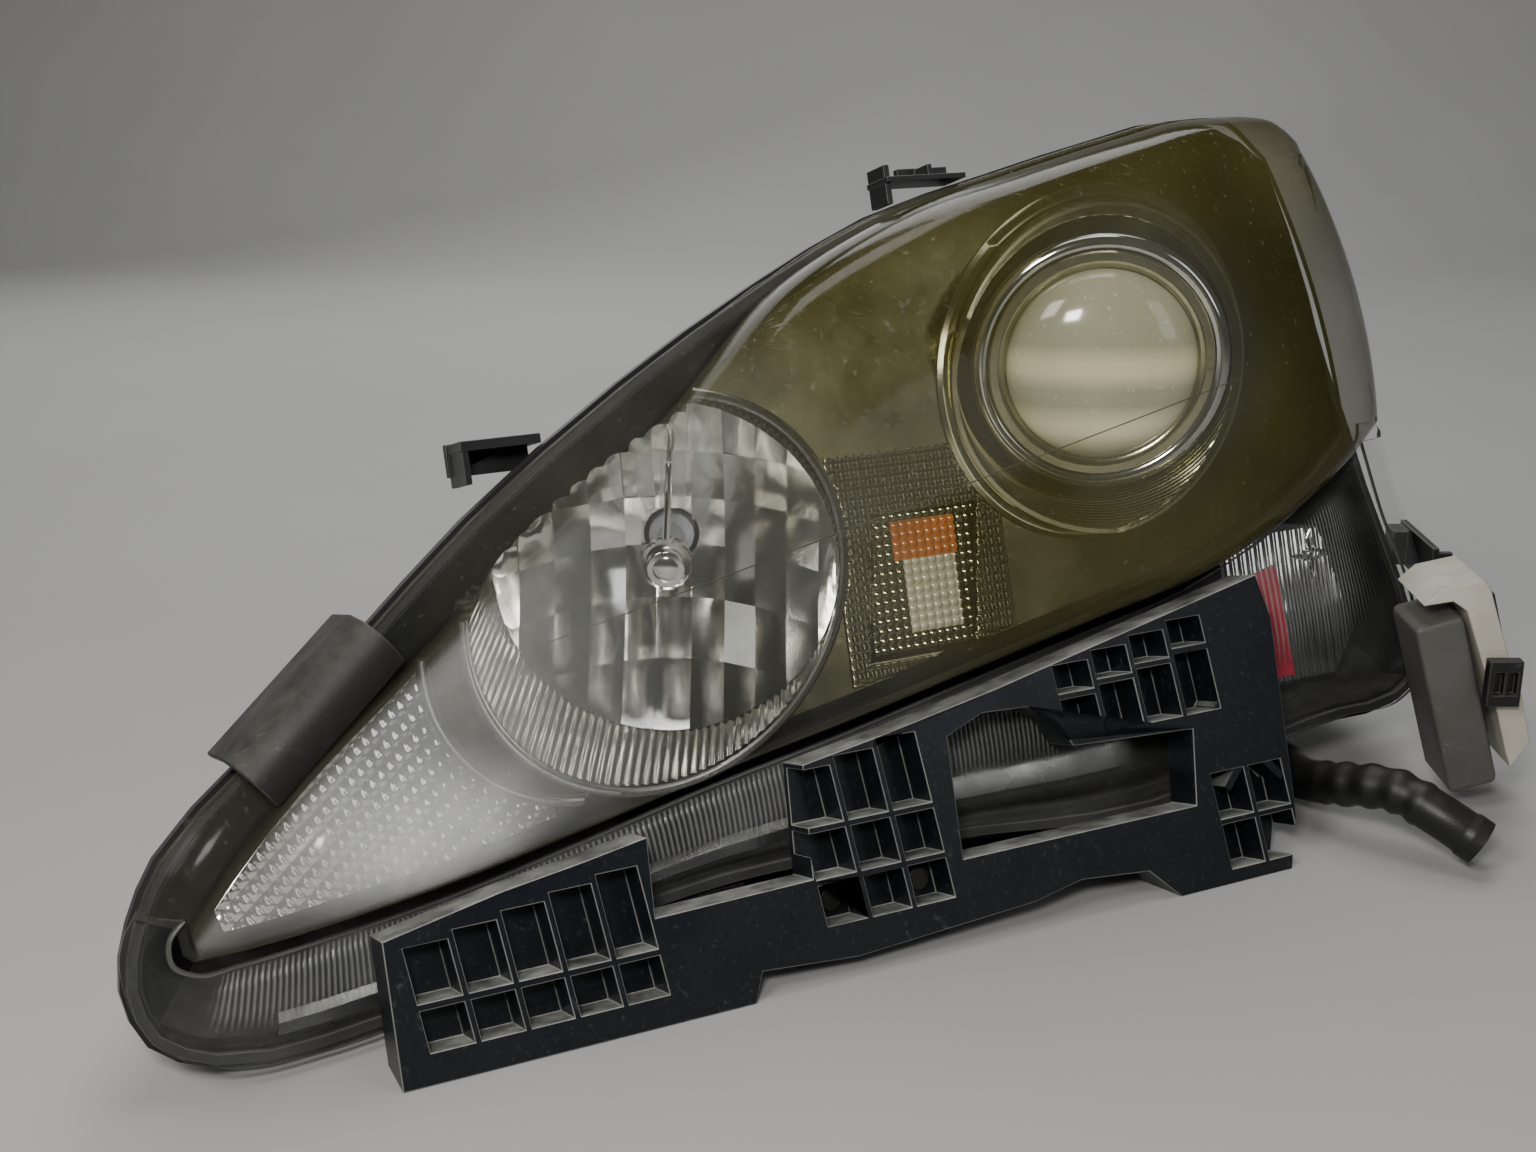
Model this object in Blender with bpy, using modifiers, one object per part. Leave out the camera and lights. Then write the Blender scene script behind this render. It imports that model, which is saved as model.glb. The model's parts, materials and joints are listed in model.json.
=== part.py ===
"""Left projector headlight of a car, taken off the car and standing on a bench.

It stands on its bumper bracket and on the ballast under its housing, lens to -Y, outboard end
to +X, +Z up, origin at the middle of the base. Everything that follows the swept and leaning
lens is built in the lens frame: u runs outboard, v runs up the lens and w points out of it.
"""

import math

import bmesh
import bpy
from mathutils import Matrix, Vector

MM = 0.001
GAP = 0.0003          # running gap between pieces that touch

# Standing place of the assembly
PLAN_CENTRE = (0.0605, 0.1973)
LENS_ORIGIN = Vector((0.0300, 0.1359, 0.1300))
SWEEP = math.radians(26.0)
LEAN = math.radians(18.0)

# Lens
LENS_WALL = 2.2 * MM
EDGE_RISE = 16.0 * MM         # height of the rounded side wall of the dome
EDGE_ROUND = 12.0 * MM        # inset at which that wall turns into the crown
CROWN = 18.0 * MM
STEP_DOWN = 14.5 * MM         # from the foot of the dome to its flange
FLANGE = 3.0 * MM
OUTBOARD_CURVE = 0.5          # sweep-back of the outboard end, 1/m
OUTBOARD_START = 0.100
TIP_LIFT = 10.0 * MM

# Housing
HOUSING_WALL = 2.5 * MM
LAND_DROP = 21.5 * MM
LAND_WIDTH = 7.0 * MM
RIM_DEPTH = 6.5 * MM
REAR_AT_ZERO = 0.285          # y of the rear wall at x = 0
REAR_SLOPE = 0.38
FLOOR_OF_TUB = 0.042
REAR_MIDDLE = (0.070, 0.140)  # x and z

# Low beam projector, axis along Y
LOW = Vector((0.1324, 0.2070, 0.1958))
LENS_RADIUS = 38.0 * MM
HOLDER_RADIUS = 45.0 * MM
RING_RADIUS = 51.5 * MM
SHROUD_RADIUS = 60.0 * MM
PAN_Y = 0.2900
TILT_Z = 0.2250
POST_END = 0.3365
EAR_BORE = 5.2 * MM
LOW_COLLAR = 50.0 * MM
LOW_COLLAR_END = 0.3600

# High beam, axis along Y
HIGH = Vector((-0.0380, 0.1880, 0.1330))
HIGH_FOCUS = 22.0 * MM
HIGH_RADIUS = 65.0 * MM
HIGH_COLLAR = 34.0 * MM
HIGH_COLLAR_END = 0.2920
SIDE_BOWL = Vector((-0.0600, 0.1650, 0.1250))
SIDE_BOWL_RADIUS = 56.0 * MM

# Signal lamps
TURN = Vector((0.0600, 0.2000, 0.1220))
TURN_BOX = (46.0 * MM, 58.0 * MM)
MARKER = Vector((0.2320, 0.3000, 0.0780))

# Levelling and aiming
MOTOR = Vector((0.1324, 0.3475, 0.0950))
ADJUST_V = Vector((0.1950, 0.3620, 0.1250))
ADJUST_H = Vector((0.0660, 0.3130, 0.2050))

# Ballast
BALLAST_AT = Vector((0.0880, 0.2640, 0.0))
BALLAST_SIZE = (104.0 * MM, 60.0 * MM, 38.0 * MM)
BALLAST_TURN = math.radians(22.0)

# Connector on the outboard side
CONNECTOR = Vector((0.2882, 0.2230, 0.0510))
CONNECTOR_LEAN = math.radians(-17.0)
LEVER_PIVOT = Vector((0.3160, 0.2230, 0.0300))

# Rungs across the main lens from the inboard tip to the outboard side, in mm:
# lower end (u, v), upper end (u, v), outboard bow of the rung.
LENS_RUNGS = (
    ((-249, -86), (-250, -77), 0),
    ((-234, -86), (-240, -65), 0),
    ((-203, -84), (-214, -40), 0),
    ((-165, -80), (-169, -7), 0),
    ((-115, -71), (-122, 28), 0),
    ((-60, -60), (-62, 68), 0),
    ((-8, -51), (-12, 110), 0),
    ((50, -40), (38, 133), 0),
    ((108, -29), (95, 147), 0),
    ((160, -19), (150, 159), 0),
    ((205, -3), (188, 166), 2),
    ((238, 13), (216, 166), 4),
    ((265, 31), (237, 150), 7),
)
# Outer edge of the clear skirt at the first seven rungs, in mm.
SKIRT_EDGE = ((-265, -72), (-255, -56), (-225, -31), (-183, 1), (-136, 39), (-72, 81), (-15, 113))
# Stations of the lower lens from the tip round to the outboard corner, in mm: inner, outer.
APRON = (
    ((-255, -81), (-270, -79)),
    ((-255, -88), (-271, -95)),
    ((-249, -92), (-265, -112)),
    ((-236, -92), (-245, -125)),
    ((-205, -90), (-210, -128)),
    ((-165, -86), (-160, -122)),
    ((-115, -77), (-110, -110)),
    ((-60, -66), (-60, -104)),
    ((-8, -57), (-8, -104)),
    ((50, -46), (50, -107)),
    ((108, -35), (105, -112)),
    ((160, -25), (161, -110)),
    ((207, -9), (208, -96)),
    ((238, 6), (246, -93)),
    ((252, 14), (283, -92)),
    ((262, 19), (299, -84)),
    ((268, 23), (301, -52)),
    ((272, 28), (286, -5)),
    ((273, 33), (279, 24)),
)
APRON_PROFILE = ((0.0, 12.0), (0.07, 8.0), (0.45, 6.0), (0.80, 8.0), (0.86, 14.5), (1.0, 14.5))
SIDE_LENS_RISE = 6.0 * MM
# Rim of the housing, once round from the tip, in mm.
RIM = (
    (-272, -95), (-266, -114), (-247, -125.5), (-210, -128.5), (-160, -123), (-110, -112),
    (-60, -106), (-8, -106), (50, -109), (105, -114), (161, -112), (208, -98), (246, -95),
    (284, -94), (300, -86), (303, -55), (294, -25), (283, 6), (276, 32), (267, 60),
    (258, 98), (246, 135), (229, 161), (196, 170), (150, 163), (95, 151), (38, 137),
    (-12, 115), (-72, 83), (-136, 41), (-183, 3), (-225, -29), (-256, -55), (-267, -74),
)
# Bumper bracket: outline and cut-outs in mm, in the plane of its front face.
BRACKET = (
    (-193, -147), (-68, -147), (-62, -131), (-24, -134), (52, -130), (74, -126), (105, -129),
    (124, -147), (172, -147), (179, -121), (179, -40), (174, -22), (136, -30), (92, -39),
    (47, -48), (3, -56), (-36, -62), (-38, -103), (-99, -104), (-98, -76), (-123, -80),
    (-152, -84), (-193, -92),
)
BRACKET_ARCH = (
    (24, -108), (131, -108), (134, -78), (78, -75), (72, -64), (60, -57), (40, -56), (24, -62),
)
BRACKET_FRONT = 15.0 * MM
BRACKET_DEPTH = 17.0 * MM
POCKET_FLOOR = 3.0 * MM
RIB_LEAN = math.tan(math.radians(-7.0))
BRACKET_SCREWS = ((-0.0273, -0.1135), (0.0095, -0.1135))
SCREW_RADIUS = 2.3 * MM
BALLAST_SCREWS = ((-0.0575, 0.0), (0.0575, 0.0))


# ---------------------------------------------------------------- helpers

def clear_scene():
    for thing in list(bpy.data.objects):
        bpy.data.objects.remove(thing, do_unlink=True)


def new_collection(name):
    made = bpy.data.collections.new(name)
    bpy.context.scene.collection.children.link(made)
    return made


def material(name, colour, roughness, metallic=0.0):
    made = bpy.data.materials.new(name)
    made.use_nodes = True
    shader = made.node_tree.nodes["Principled BSDF"]
    shader.inputs["Base Color"].default_value = (*colour, 1.0)
    shader.inputs["Roughness"].default_value = roughness
    shader.inputs["Metallic"].default_value = metallic
    made.diffuse_color = (*colour, 1.0)
    return made


def empty(name, location, rotation=(0.0, 0.0, 0.0), parent=None):
    made = bpy.data.objects.new(name, None)
    made.location = location
    made.rotation_euler = rotation
    made.parent = parent
    PARTS.objects.link(made)
    return made


def place(obj, mat, parent, location=(0.0, 0.0, 0.0), rotation=(0.0, 0.0, 0.0)):
    """Put a new piece in the parts collection under its parent."""
    if mat is not None:
        obj.data.materials.clear()
        obj.data.materials.append(mat)
    obj.parent = parent
    obj.location = location
    obj.rotation_euler = rotation
    return obj


def from_bmesh(name, bm, cutter=False):
    mesh = bpy.data.meshes.new(name)
    bm.to_mesh(mesh)
    bm.free()
    obj = bpy.data.objects.new(name, mesh)
    home = CUTTERS if cutter else PARTS
    home.objects.link(obj)
    if cutter:
        obj.hide_render = True
        obj.display_type = "WIRE"
    return obj


def box(bm, low, high):
    """Add a box between two corners."""
    low = Vector(low)
    high = Vector(high)
    size = high - low
    place_at = Matrix.Translation((low + high) / 2) @ Matrix.Diagonal((*size, 1.0))
    return bmesh.ops.create_cube(bm, size=1.0, matrix=place_at)["verts"]


def rod(bm, start, end, radius, radius_end=None, sides=20):
    """Add a capped cylinder or cone between two points."""
    start = Vector(start)
    end = Vector(end)
    run = end - start
    turn = run.to_track_quat("Z", "Y").to_matrix().to_4x4()
    other = radius if radius_end is None else radius_end
    bmesh.ops.create_cone(
        bm, cap_ends=True, segments=sides, radius1=radius, radius2=other,
        depth=run.length, matrix=Matrix.Translation((start + end) / 2) @ turn,
    )


def cut(obj, tool, operation="DIFFERENCE", crossed=True):
    """Add a Boolean step; crossed means that bodies inside the tool run through each other."""
    step = obj.modifiers.new(operation.lower(), "BOOLEAN")
    step.operation = operation
    step.object = tool
    step.solver = "EXACT"
    step.use_self = crossed


def solidify(obj, thickness, offset=-1.0):
    step = obj.modifiers.new("wall", "SOLIDIFY")
    step.thickness = thickness
    step.offset = offset


def smooth_shading(obj, angle=35.0):
    obj.data.shade_smooth()
    obj.data.set_sharp_from_angle(angle=math.radians(angle))


def turned(name, profile, parent, location, mat, sides=32, closed=False, facing=-1):
    """Screw a profile of (radius, height) round an axis along Y; height runs towards -Y."""
    bm = bmesh.new()
    verts = [bm.verts.new((radius, 0.0, height)) for radius, height in profile]
    for first, second in zip(verts, verts[1:]):
        bm.edges.new((first, second))
    if closed:
        bm.edges.new((verts[-1], verts[0]))
    obj = from_bmesh(name, bm)
    place(obj, mat, parent, location, (math.radians(-90.0 * facing), 0.0, 0.0))
    screw = obj.modifiers.new("turn", "SCREW")
    screw.steps = sides
    screw.render_steps = sides
    screw.use_merge_vertices = True
    screw.merge_threshold = 0.00005
    screw.use_smooth_shade = True
    return obj


def tube(name, points, radius, parent, mat, sides=2, location=(0.0, 0.0, 0.0)):
    """A round lead or hose along a polyline, with filled ends, made a mesh with welded caps."""
    curve = bpy.data.curves.new(name, "CURVE")
    curve.dimensions = "3D"
    curve.bevel_depth = radius
    curve.bevel_resolution = sides
    curve.use_fill_caps = True
    spline = curve.splines.new("POLY")
    spline.points.add(len(points) - 1)
    for target, point in zip(spline.points, points):
        target.co = (*point, 1.0)
    guide = bpy.data.objects.new(name + "_route", curve)
    PARTS.objects.link(guide)
    obj = mesh_of_curve(name, guide)
    smooth_shading(obj)
    return place(obj, mat, parent, location)


def mesh_of_curve(name, guide):
    """Replace a curve object by its evaluated mesh with the caps welded on."""
    graph = bpy.context.evaluated_depsgraph_get()
    graph.update()
    mesh = bpy.data.meshes.new_from_object(guide.evaluated_get(graph))
    bm = bmesh.new()
    bm.from_mesh(mesh)
    bmesh.ops.remove_doubles(bm, verts=bm.verts, dist=0.00002)
    bmesh.ops.recalc_face_normals(bm, faces=bm.faces)
    bm.to_mesh(mesh)
    bm.free()
    old = guide.data
    bpy.data.objects.remove(guide, do_unlink=True)
    bpy.data.curves.remove(old)
    mesh.name = name
    obj = bpy.data.objects.new(name, mesh)
    PARTS.objects.link(obj)
    return obj


def outline_solid(name, loops, low, high, parent, mat, cutter=False):
    """Extrude flat outlines (the first one filled, the rest cut out) from w = low to high."""
    curve = bpy.data.curves.new(name, "CURVE")
    curve.dimensions = "2D"
    curve.fill_mode = "BOTH"
    curve.extrude = (high - low) / 2
    for loop in loops:
        spline = curve.splines.new("POLY")
        spline.points.add(len(loop) - 1)
        for target, (u, v) in zip(spline.points, loop):
            target.co = (u, v, 0.0, 1.0)
        spline.use_cyclic_u = True
    guide = bpy.data.objects.new(name + "_outline", curve)
    PARTS.objects.link(guide)
    obj = mesh_of_curve(name, guide)
    if cutter:
        PARTS.objects.unlink(obj)
        CUTTERS.objects.link(obj)
        obj.hide_render = True
        obj.display_type = "WIRE"
    return place(obj, mat, parent, (0.0, 0.0, (low + high) / 2))


def glide(points, t):
    """Point at index position t of a smooth curve through the points (chordal tangents)."""
    last = len(points) - 1
    at = min(max(int(t), 0), last - 1)
    part = t - at
    here = points[at]
    there = points[at + 1]
    before = points[at - 1] if at > 0 else here * 2 - there
    after = points[at + 2] if at + 2 <= last else there * 2 - here
    step = (there - here).length
    step_in = (here - before).length
    step_out = (after - there).length
    slope_in = ((here - before) / step_in * step + (there - here) / step * step_in)
    slope_in *= step / (step + step_in)
    slope_out = ((there - here) / step * step_out + (after - there) / step_out * step)
    slope_out *= step / (step + step_out)
    square = part * part
    cube = square * part
    return (
        here * (2 * cube - 3 * square + 1)
        + slope_in * (cube - 2 * square + part)
        + there * (3 * square - 2 * cube)
        + slope_out * (cube - square)
    )


def in_metres(points):
    return [Vector(point) * MM for point in points]


def ease(x):
    x = min(max(x, 0.0), 1.0)
    return x * x * (3.0 - 2.0 * x)


def edge_height(u):
    """w of the foot of the lens: swept back at the outboard end, lifted at the tip."""
    outboard = max(0.0, u - OUTBOARD_START)
    tip = ease((-0.150 - u) / 0.100)
    return TIP_LIFT * tip - OUTBOARD_CURVE * outboard * outboard


def skin(bm, rows, closed=False, flip=False):
    """Faces between successive rows of vertices of equal length."""
    for first, second in zip(rows, rows[1:]):
        count = len(first)
        for i in range(count if closed else count - 1):
            j = (i + 1) % count
            ring = [first[i], second[i], second[j], first[j]]
            if flip:
                ring.reverse()
            bm.faces.new(ring)


def lens_point(local):
    """World-side coordinates (before the stand offset) of a lens frame point."""
    return LENS_ORIGIN + LENS_AXES @ Vector(local)


def closed_loop(points, per_side):
    """Smooth closed loop through the points, per_side samples for each side."""
    lead = points[-2:]
    tail = points[:2]
    track = lead + points + tail
    count = len(points)
    return [glide(track, 2 + i / per_side) for i in range(count * per_side)]


def inset(loop, distance):
    """Loop moved inwards by a distance; the loop runs counter-clockwise seen from +w."""
    moved = []
    count = len(loop)
    for i, point in enumerate(loop):
        along = (loop[(i + 1) % count] - loop[i - 1]).normalized()
        moved.append(point + Vector((-along.y, along.x)) * distance)
    return moved


# ---------------------------------------------------------------- lenses

def lens_rung(t, shares):
    """Flat points across the main lens at rung position t."""
    lower = glide(in_metres([rung[0] for rung in LENS_RUNGS]), t)
    upper = glide(in_metres([rung[1] for rung in LENS_RUNGS]), t)
    at = min(int(t), len(LENS_RUNGS) - 2)
    bow = LENS_RUNGS[at][2] + (LENS_RUNGS[at + 1][2] - LENS_RUNGS[at][2]) * (t - at)
    bow *= MM
    return [lower.lerp(upper, s) + Vector((bow * 4.0 * s * (1.0 - s), 0.0)) for s in shares]


def rung_shares(length, inner):
    """Shares along a rung: close together in the rounded edges, even between them."""
    scale = min(1.0, length / 0.060) / length
    edge = [0.0, 0.0018 * scale, 0.0055 * scale, EDGE_ROUND * scale]
    middle = [edge[-1] + (1.0 - 2.0 * edge[-1]) * i / (inner + 1) for i in range(1, inner + 1)]
    return edge + middle + [1.0 - share for share in reversed(edge)]


def dome_height(point, t, s, length, side):
    """Height of the dome over its foot."""
    last = len(LENS_RUNGS) - 1
    distance = min(s * length, (1.0 - s) * length, side)
    share = min(distance / EDGE_ROUND, 1.0)
    rise = EDGE_RISE * min(1.0, length / 0.045) * math.sqrt(1.0 - (1.0 - share) ** 2)
    along = (t / last) ** 1.25
    crown = CROWN * 4.0 * s * (1.0 - s) * (4.0 * along * (1.0 - along)) ** 0.6
    return edge_height(point.x) + rise + crown


def dome_rows(rungs, inner):
    last = len(LENS_RUNGS) - 1
    side = lens_rung(last, [i / 20 for i in range(21)])
    rows = []
    for t in rungs:
        ends = lens_rung(t, [0.0, 1.0])
        length = (ends[1] - ends[0]).length
        shares = rung_shares(length, inner)
        row = []
        for s, flat in zip(shares, lens_rung(t, shares)):
            to_side = min((flat - other).length for other in side)
            height = dome_height(flat, t, s, length, to_side)
            row.append(Vector((flat.x, flat.y, height)))
        rows.append(row)
    return rows


def skirt_width_point(flat, outward, t, upper):
    """Outer flange point beside a foot point of the dome."""
    edge = in_metres(SKIRT_EDGE)
    if upper and t <= len(edge) - 1:
        return glide(edge, t)
    return flat + outward * FLANGE


def add_outer_lens(parent, mat):
    rungs = [0.0, 0.5] + list(range(1, 12)) + [11.5, 11.85, 12.0]
    rows = dome_rows(rungs, 5)
    bm = bmesh.new()
    grid = [[bm.verts.new(point) for point in row] for row in rows]
    for first, second in zip(grid, grid[1:]):
        for i in range(len(first) - 1):
            bm.faces.new((first[i], second[i], second[i + 1], first[i + 1]))
    rim = [(row[0], t, False) for row, t in zip(grid, rungs)]
    rim += [(vert, rungs[-1], False) for vert in grid[-1][1:-1]]
    rim += [(row[-1], t, True) for row, t in zip(reversed(grid), reversed(rungs))]
    rim += [(vert, 0.0, False) for vert in reversed(grid[0][1:-1])]
    count = len(rim)
    foot = []
    outer = []
    for i, (vert, t, upper) in enumerate(rim):
        along = rim[(i + 1) % count][0].co - rim[i - 1][0].co
        outward = Vector((along.y, -along.x)).normalized()
        flat = Vector((vert.co.x, vert.co.y))
        wide = skirt_width_point(flat, outward, t, upper)
        foot.append(bm.verts.new((flat.x, flat.y, edge_height(flat.x) - STEP_DOWN)))
        outer.append(bm.verts.new((wide.x, wide.y, edge_height(wide.x) - STEP_DOWN)))
    skin(bm, [[vert for vert, _, _ in rim], foot, outer], closed=True)
    obj = place(from_bmesh("outer_lens", bm), mat, parent)
    solidify(obj, LENS_WALL)
    smooth_shading(obj)
    return obj


def apron_rows(samples):
    """Rows of points of the lower lens, from its inner edge to its outer edge."""
    inner = in_metres([pair[0] for pair in APRON])
    outer = in_metres([pair[1] for pair in APRON])
    rows = []
    for t in samples:
        near = glide(inner, t)
        far = glide(outer, t)
        row = []
        for share, drop in APRON_PROFILE:
            flat = near.lerp(far, share)
            lift = SIDE_LENS_RISE * ease((flat.x - 0.192) / 0.014) * (0.0 < share < 0.86)
            row.append(Vector((flat.x, flat.y, edge_height(flat.x) - drop * MM + lift)))
        rows.append(row)
    return rows


def add_lower_lens(parent, mat):
    samples = [i / 2 for i in range(2 * len(APRON) - 1)]
    bm = bmesh.new()
    grid = [[bm.verts.new(point) for point in row] for row in apron_rows(samples)]
    skin(bm, grid, flip=True)
    obj = place(from_bmesh("lower_lens", bm), mat, parent)
    solidify(obj, LENS_WALL)
    smooth_shading(obj)
    return obj


def rim_loop():
    return closed_loop(in_metres(RIM), 2)


def raised(loop, height):
    return [Vector((p.x, p.y, edge_height(p.x) + height)) for p in loop]


def add_sealant(parent, mat):
    """Bead between the lens flanges and the land of the housing."""
    loop = rim_loop()
    top = -STEP_DOWN - LENS_WALL - 0.0008
    low = -LAND_DROP + GAP
    rings = [(1.6, low), (5.4, low), (5.4, top), (1.6, top), (1.6, low)]
    bm = bmesh.new()
    rows = [[bm.verts.new(p) for p in raised(inset(loop, d * MM), h)] for d, h in rings[:4]]
    skin(bm, rows + rows[:1], closed=True)
    bmesh.ops.recalc_face_normals(bm, faces=bm.faces)
    return place(from_bmesh("lens_sealant", bm), mat, parent)


# ---------------------------------------------------------------- housing

def rear_y(x):
    return REAR_AT_ZERO + REAR_SLOPE * x


def squeeze(point, share):
    """Move a rim point back towards the rear outline by a share of the way."""
    centre = Vector((0.070, 0.0, 0.125))
    side = 0.86 if point.x > centre.x else 0.76
    up = 0.86 if point.z > centre.z else 0.80
    x = centre.x + (point.x - centre.x) * side
    z = max(centre.z + (point.z - centre.z) * up, FLOOR_OF_TUB)
    y = rear_y(x)
    narrow = share ** 1.6 if share < 1.0 else 1.0
    level = point.z + (z - point.z) * narrow
    if share >= 0.5:
        level = max(level, FLOOR_OF_TUB)
    return Vector((
        point.x + (x - point.x) * narrow,
        point.y + (y - point.y) * share,
        level,
    ))


def thinned(ring, wall):
    """Ring moved inwards by the wall, seen along Y."""
    flat = inset([Vector((point.x, point.z)) for point in ring], wall)
    return [Vector((p.x, point.y, p.y)) for p, point in zip(flat, ring)]


def add_housing(parent, lens_frame, mat):
    """Tub behind the lens: outer skin, land for the sealant and inner skin in one loft."""
    loop = rim_loop()
    neck = [lens_point(p) for p in raised(inset(loop, 0.0045), -LAND_DROP - RIM_DEPTH - 0.004)]
    tub = [[squeeze(point, share) for point in neck] for share in (1.0, 0.8, 0.5)]
    rim = [raised(loop, -LAND_DROP - RIM_DEPTH), raised(loop, -LAND_DROP)]
    lip = [raised(inset(loop, LAND_WIDTH), -LAND_DROP),
           raised(inset(loop, LAND_WIDTH + 0.0005), -LAND_DROP - RIM_DEPTH - 0.005)]
    inner = [thinned(ring, HOUSING_WALL) for ring in reversed(tub)]
    back = HOUSING_WALL / math.cos(math.atan(REAR_SLOPE))
    inner[-1] = [Vector((p.x, rear_y(p.x) - back, p.z)) for p in inner[-1]]
    rings = tub + [neck] + [[lens_point(p) for p in ring] for ring in rim + lip] + inner
    bm = bmesh.new()
    rows = [[bm.verts.new(point) for point in ring] for ring in rings]
    skin(bm, rows, closed=True, flip=True)
    for row, wall in ((rows[0], 0.0), (rows[-1], back)):
        middle = bm.verts.new((REAR_MIDDLE[0], rear_y(REAR_MIDDLE[0]) - wall, REAR_MIDDLE[1]))
        for first, second in zip(row, row[1:] + row[:1]):
            bm.faces.new((first, second, middle))
    bmesh.ops.recalc_face_normals(bm, faces=bm.faces)
    obj = place(from_bmesh("housing", bm), mat, parent)
    cut(obj, housing_collars(parent), "UNION", crossed=False)
    cut(obj, housing_bores(parent), crossed=False)
    cut(obj, bracket_bosses(lens_frame), "UNION", crossed=False)
    smooth_shading(obj)


def bracket_bosses(parent):
    """Block under the rim that takes the screws of the bumper bracket."""
    bm = bmesh.new()
    box(bm, (-0.0400, -0.1200, -0.0440), (0.0220, -0.0990, -0.0343))
    block = place(from_bmesh("bracket_bosses", bm, cutter=True), None, parent)
    bm = bmesh.new()
    for u, v in BRACKET_SCREWS:
        rod(bm, (u, v, -0.0420), (u, v, -0.0300), SCREW_RADIUS + GAP, sides=12)
    cut(block, place(from_bmesh("screw_bores", bm, cutter=True), None, parent))
    return block


def ballast_point(x, y, z):
    """Stand-side place of a point given along the ballast's own sides."""
    turn = Matrix.Rotation(BALLAST_TURN, 3, "Z")
    return BALLAST_AT + turn @ Vector((x, y, z))


def housing_collars(parent):
    """Collars and pads that stand off the rear wall, as one cutter for a union."""
    bm = bmesh.new()
    low_start = rear_y(LOW.x - LOW_COLLAR) - 0.004
    rod(bm, (LOW.x, low_start, LOW.z), (LOW.x, LOW_COLLAR_END, LOW.z), LOW_COLLAR, sides=32)
    high_start = rear_y(HIGH.x - HIGH_COLLAR) - 0.004
    rod(bm, (HIGH.x, high_start, HIGH.z), (HIGH.x, HIGH_COLLAR_END, HIGH.z), HIGH_COLLAR, sides=28)
    for lamp, radius, stand in ((TURN, 17.0, 0.008), (MARKER, 13.5, 0.008)):
        wall = rear_y(lamp.x)
        rod(bm, (lamp.x, wall - 0.010, lamp.z), (lamp.x, wall + stand, lamp.z), radius * MM)
    box(bm, (MOTOR.x - 0.026, 0.318, 0.076), (MOTOR.x + 0.026, MOTOR.y - GAP, 0.118))
    for screw in (ADJUST_V, ADJUST_H):
        wall = rear_y(screw.x)
        rod(bm, (screw.x, wall - 0.006, screw.z), (screw.x, screw.y, screw.z), 8.0 * MM, sides=16)
    for x, y in BALLAST_SCREWS:
        foot = ballast_point(x, y, BALLAST_SIZE[2] - 0.0032)
        rod(bm, foot, (foot.x, foot.y, FLOOR_OF_TUB + 0.001), 5.0 * MM, sides=12)
    obj = from_bmesh("housing_collars", bm, cutter=True)
    return place(obj, None, parent)


def housing_bores(parent):
    bm = bmesh.new()
    bores = (
        (LOW, LOW_COLLAR - 0.004, 32), (HIGH, HIGH_COLLAR - 0.004, 28), (TURN, 12.0 * MM, 20),
        (MARKER, 9.0 * MM, 20), (MOTOR, 5.0 * MM, 16), (ADJUST_V, 3.6 * MM, 12),
        (ADJUST_H, 3.6 * MM, 12),
    )
    for centre, radius, sides in bores:
        wall = rear_y(centre.x)
        back = Vector((centre.x, wall + 0.050, centre.z))
        rod(bm, (centre.x, wall - 0.040, centre.z), back, radius, sides=sides)
    for x, y in BALLAST_SCREWS:
        foot = ballast_point(x, y, 0.020)
        rod(bm, foot, (foot.x, foot.y, FLOOR_OF_TUB + 0.0005), SCREW_RADIUS + GAP, sides=12)
    obj = from_bmesh("housing_bores", bm, cutter=True)
    return place(obj, None, parent)


# ---------------------------------------------------------------- inside the lamp

def foot_loop(distance):
    """Foot outline of the main lens moved inwards, counter-clockwise seen from +w."""
    last = len(LENS_RUNGS) - 1
    steps = [i / 2 for i in range(2 * last + 1)]
    lower = [lens_rung(t, [0.0])[0] for t in steps]
    upper = [lens_rung(t, [1.0])[0] for t in reversed(steps)]
    side = lens_rung(last, [0.2, 0.4, 0.6, 0.8])
    return inset(lower + side + upper, distance)


def add_interior_prism(parent):
    """Space behind the main lens: its foot outline drawn straight back along Y."""
    loop = foot_loop(0.0065)
    drive = LENS_AXES.transposed() @ Vector((0.0, 0.200, 0.0))
    bm = bmesh.new()
    front = [bm.verts.new((p.x, p.y, edge_height(p.x) - 0.004)) for p in loop]
    back = [bm.verts.new(vert.co + drive) for vert in front]
    skin(bm, [front, back], closed=True)
    bm.faces.new(front)
    bm.faces.new(list(reversed(back)))
    bmesh.ops.triangulate(bm, faces=[face for face in bm.faces if len(face.verts) > 4])
    bmesh.ops.recalc_face_normals(bm, faces=bm.faces)
    obj = from_bmesh("interior_prism", bm, cutter=True)
    return place(obj, None, parent)


def bezel_cutters(parent):
    """Openings of the bezel: both bowls, the projector shroud and the signal window."""
    bm = bmesh.new()
    reach = 0.150
    for centre, radius, sides in (
        (HIGH, HIGH_RADIUS + 0.0032, 40), (LOW, SHROUD_RADIUS + 0.0032, 40),
    ):
        rod(bm, centre - Vector((0, reach, 0)), centre + Vector((0, reach, 0)), radius, sides=sides)
    wide = TURN_BOX[0] / 2 + 0.0028
    tall = TURN_BOX[1] / 2 + 0.0028
    middle = Vector((TURN.x, TURN.y, TURN.z))
    box(bm, middle - Vector((wide, reach, tall)), middle + Vector((wide, reach, tall)))
    obj = from_bmesh("bezel_openings", bm, cutter=True)
    return place(obj, None, parent)


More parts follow.
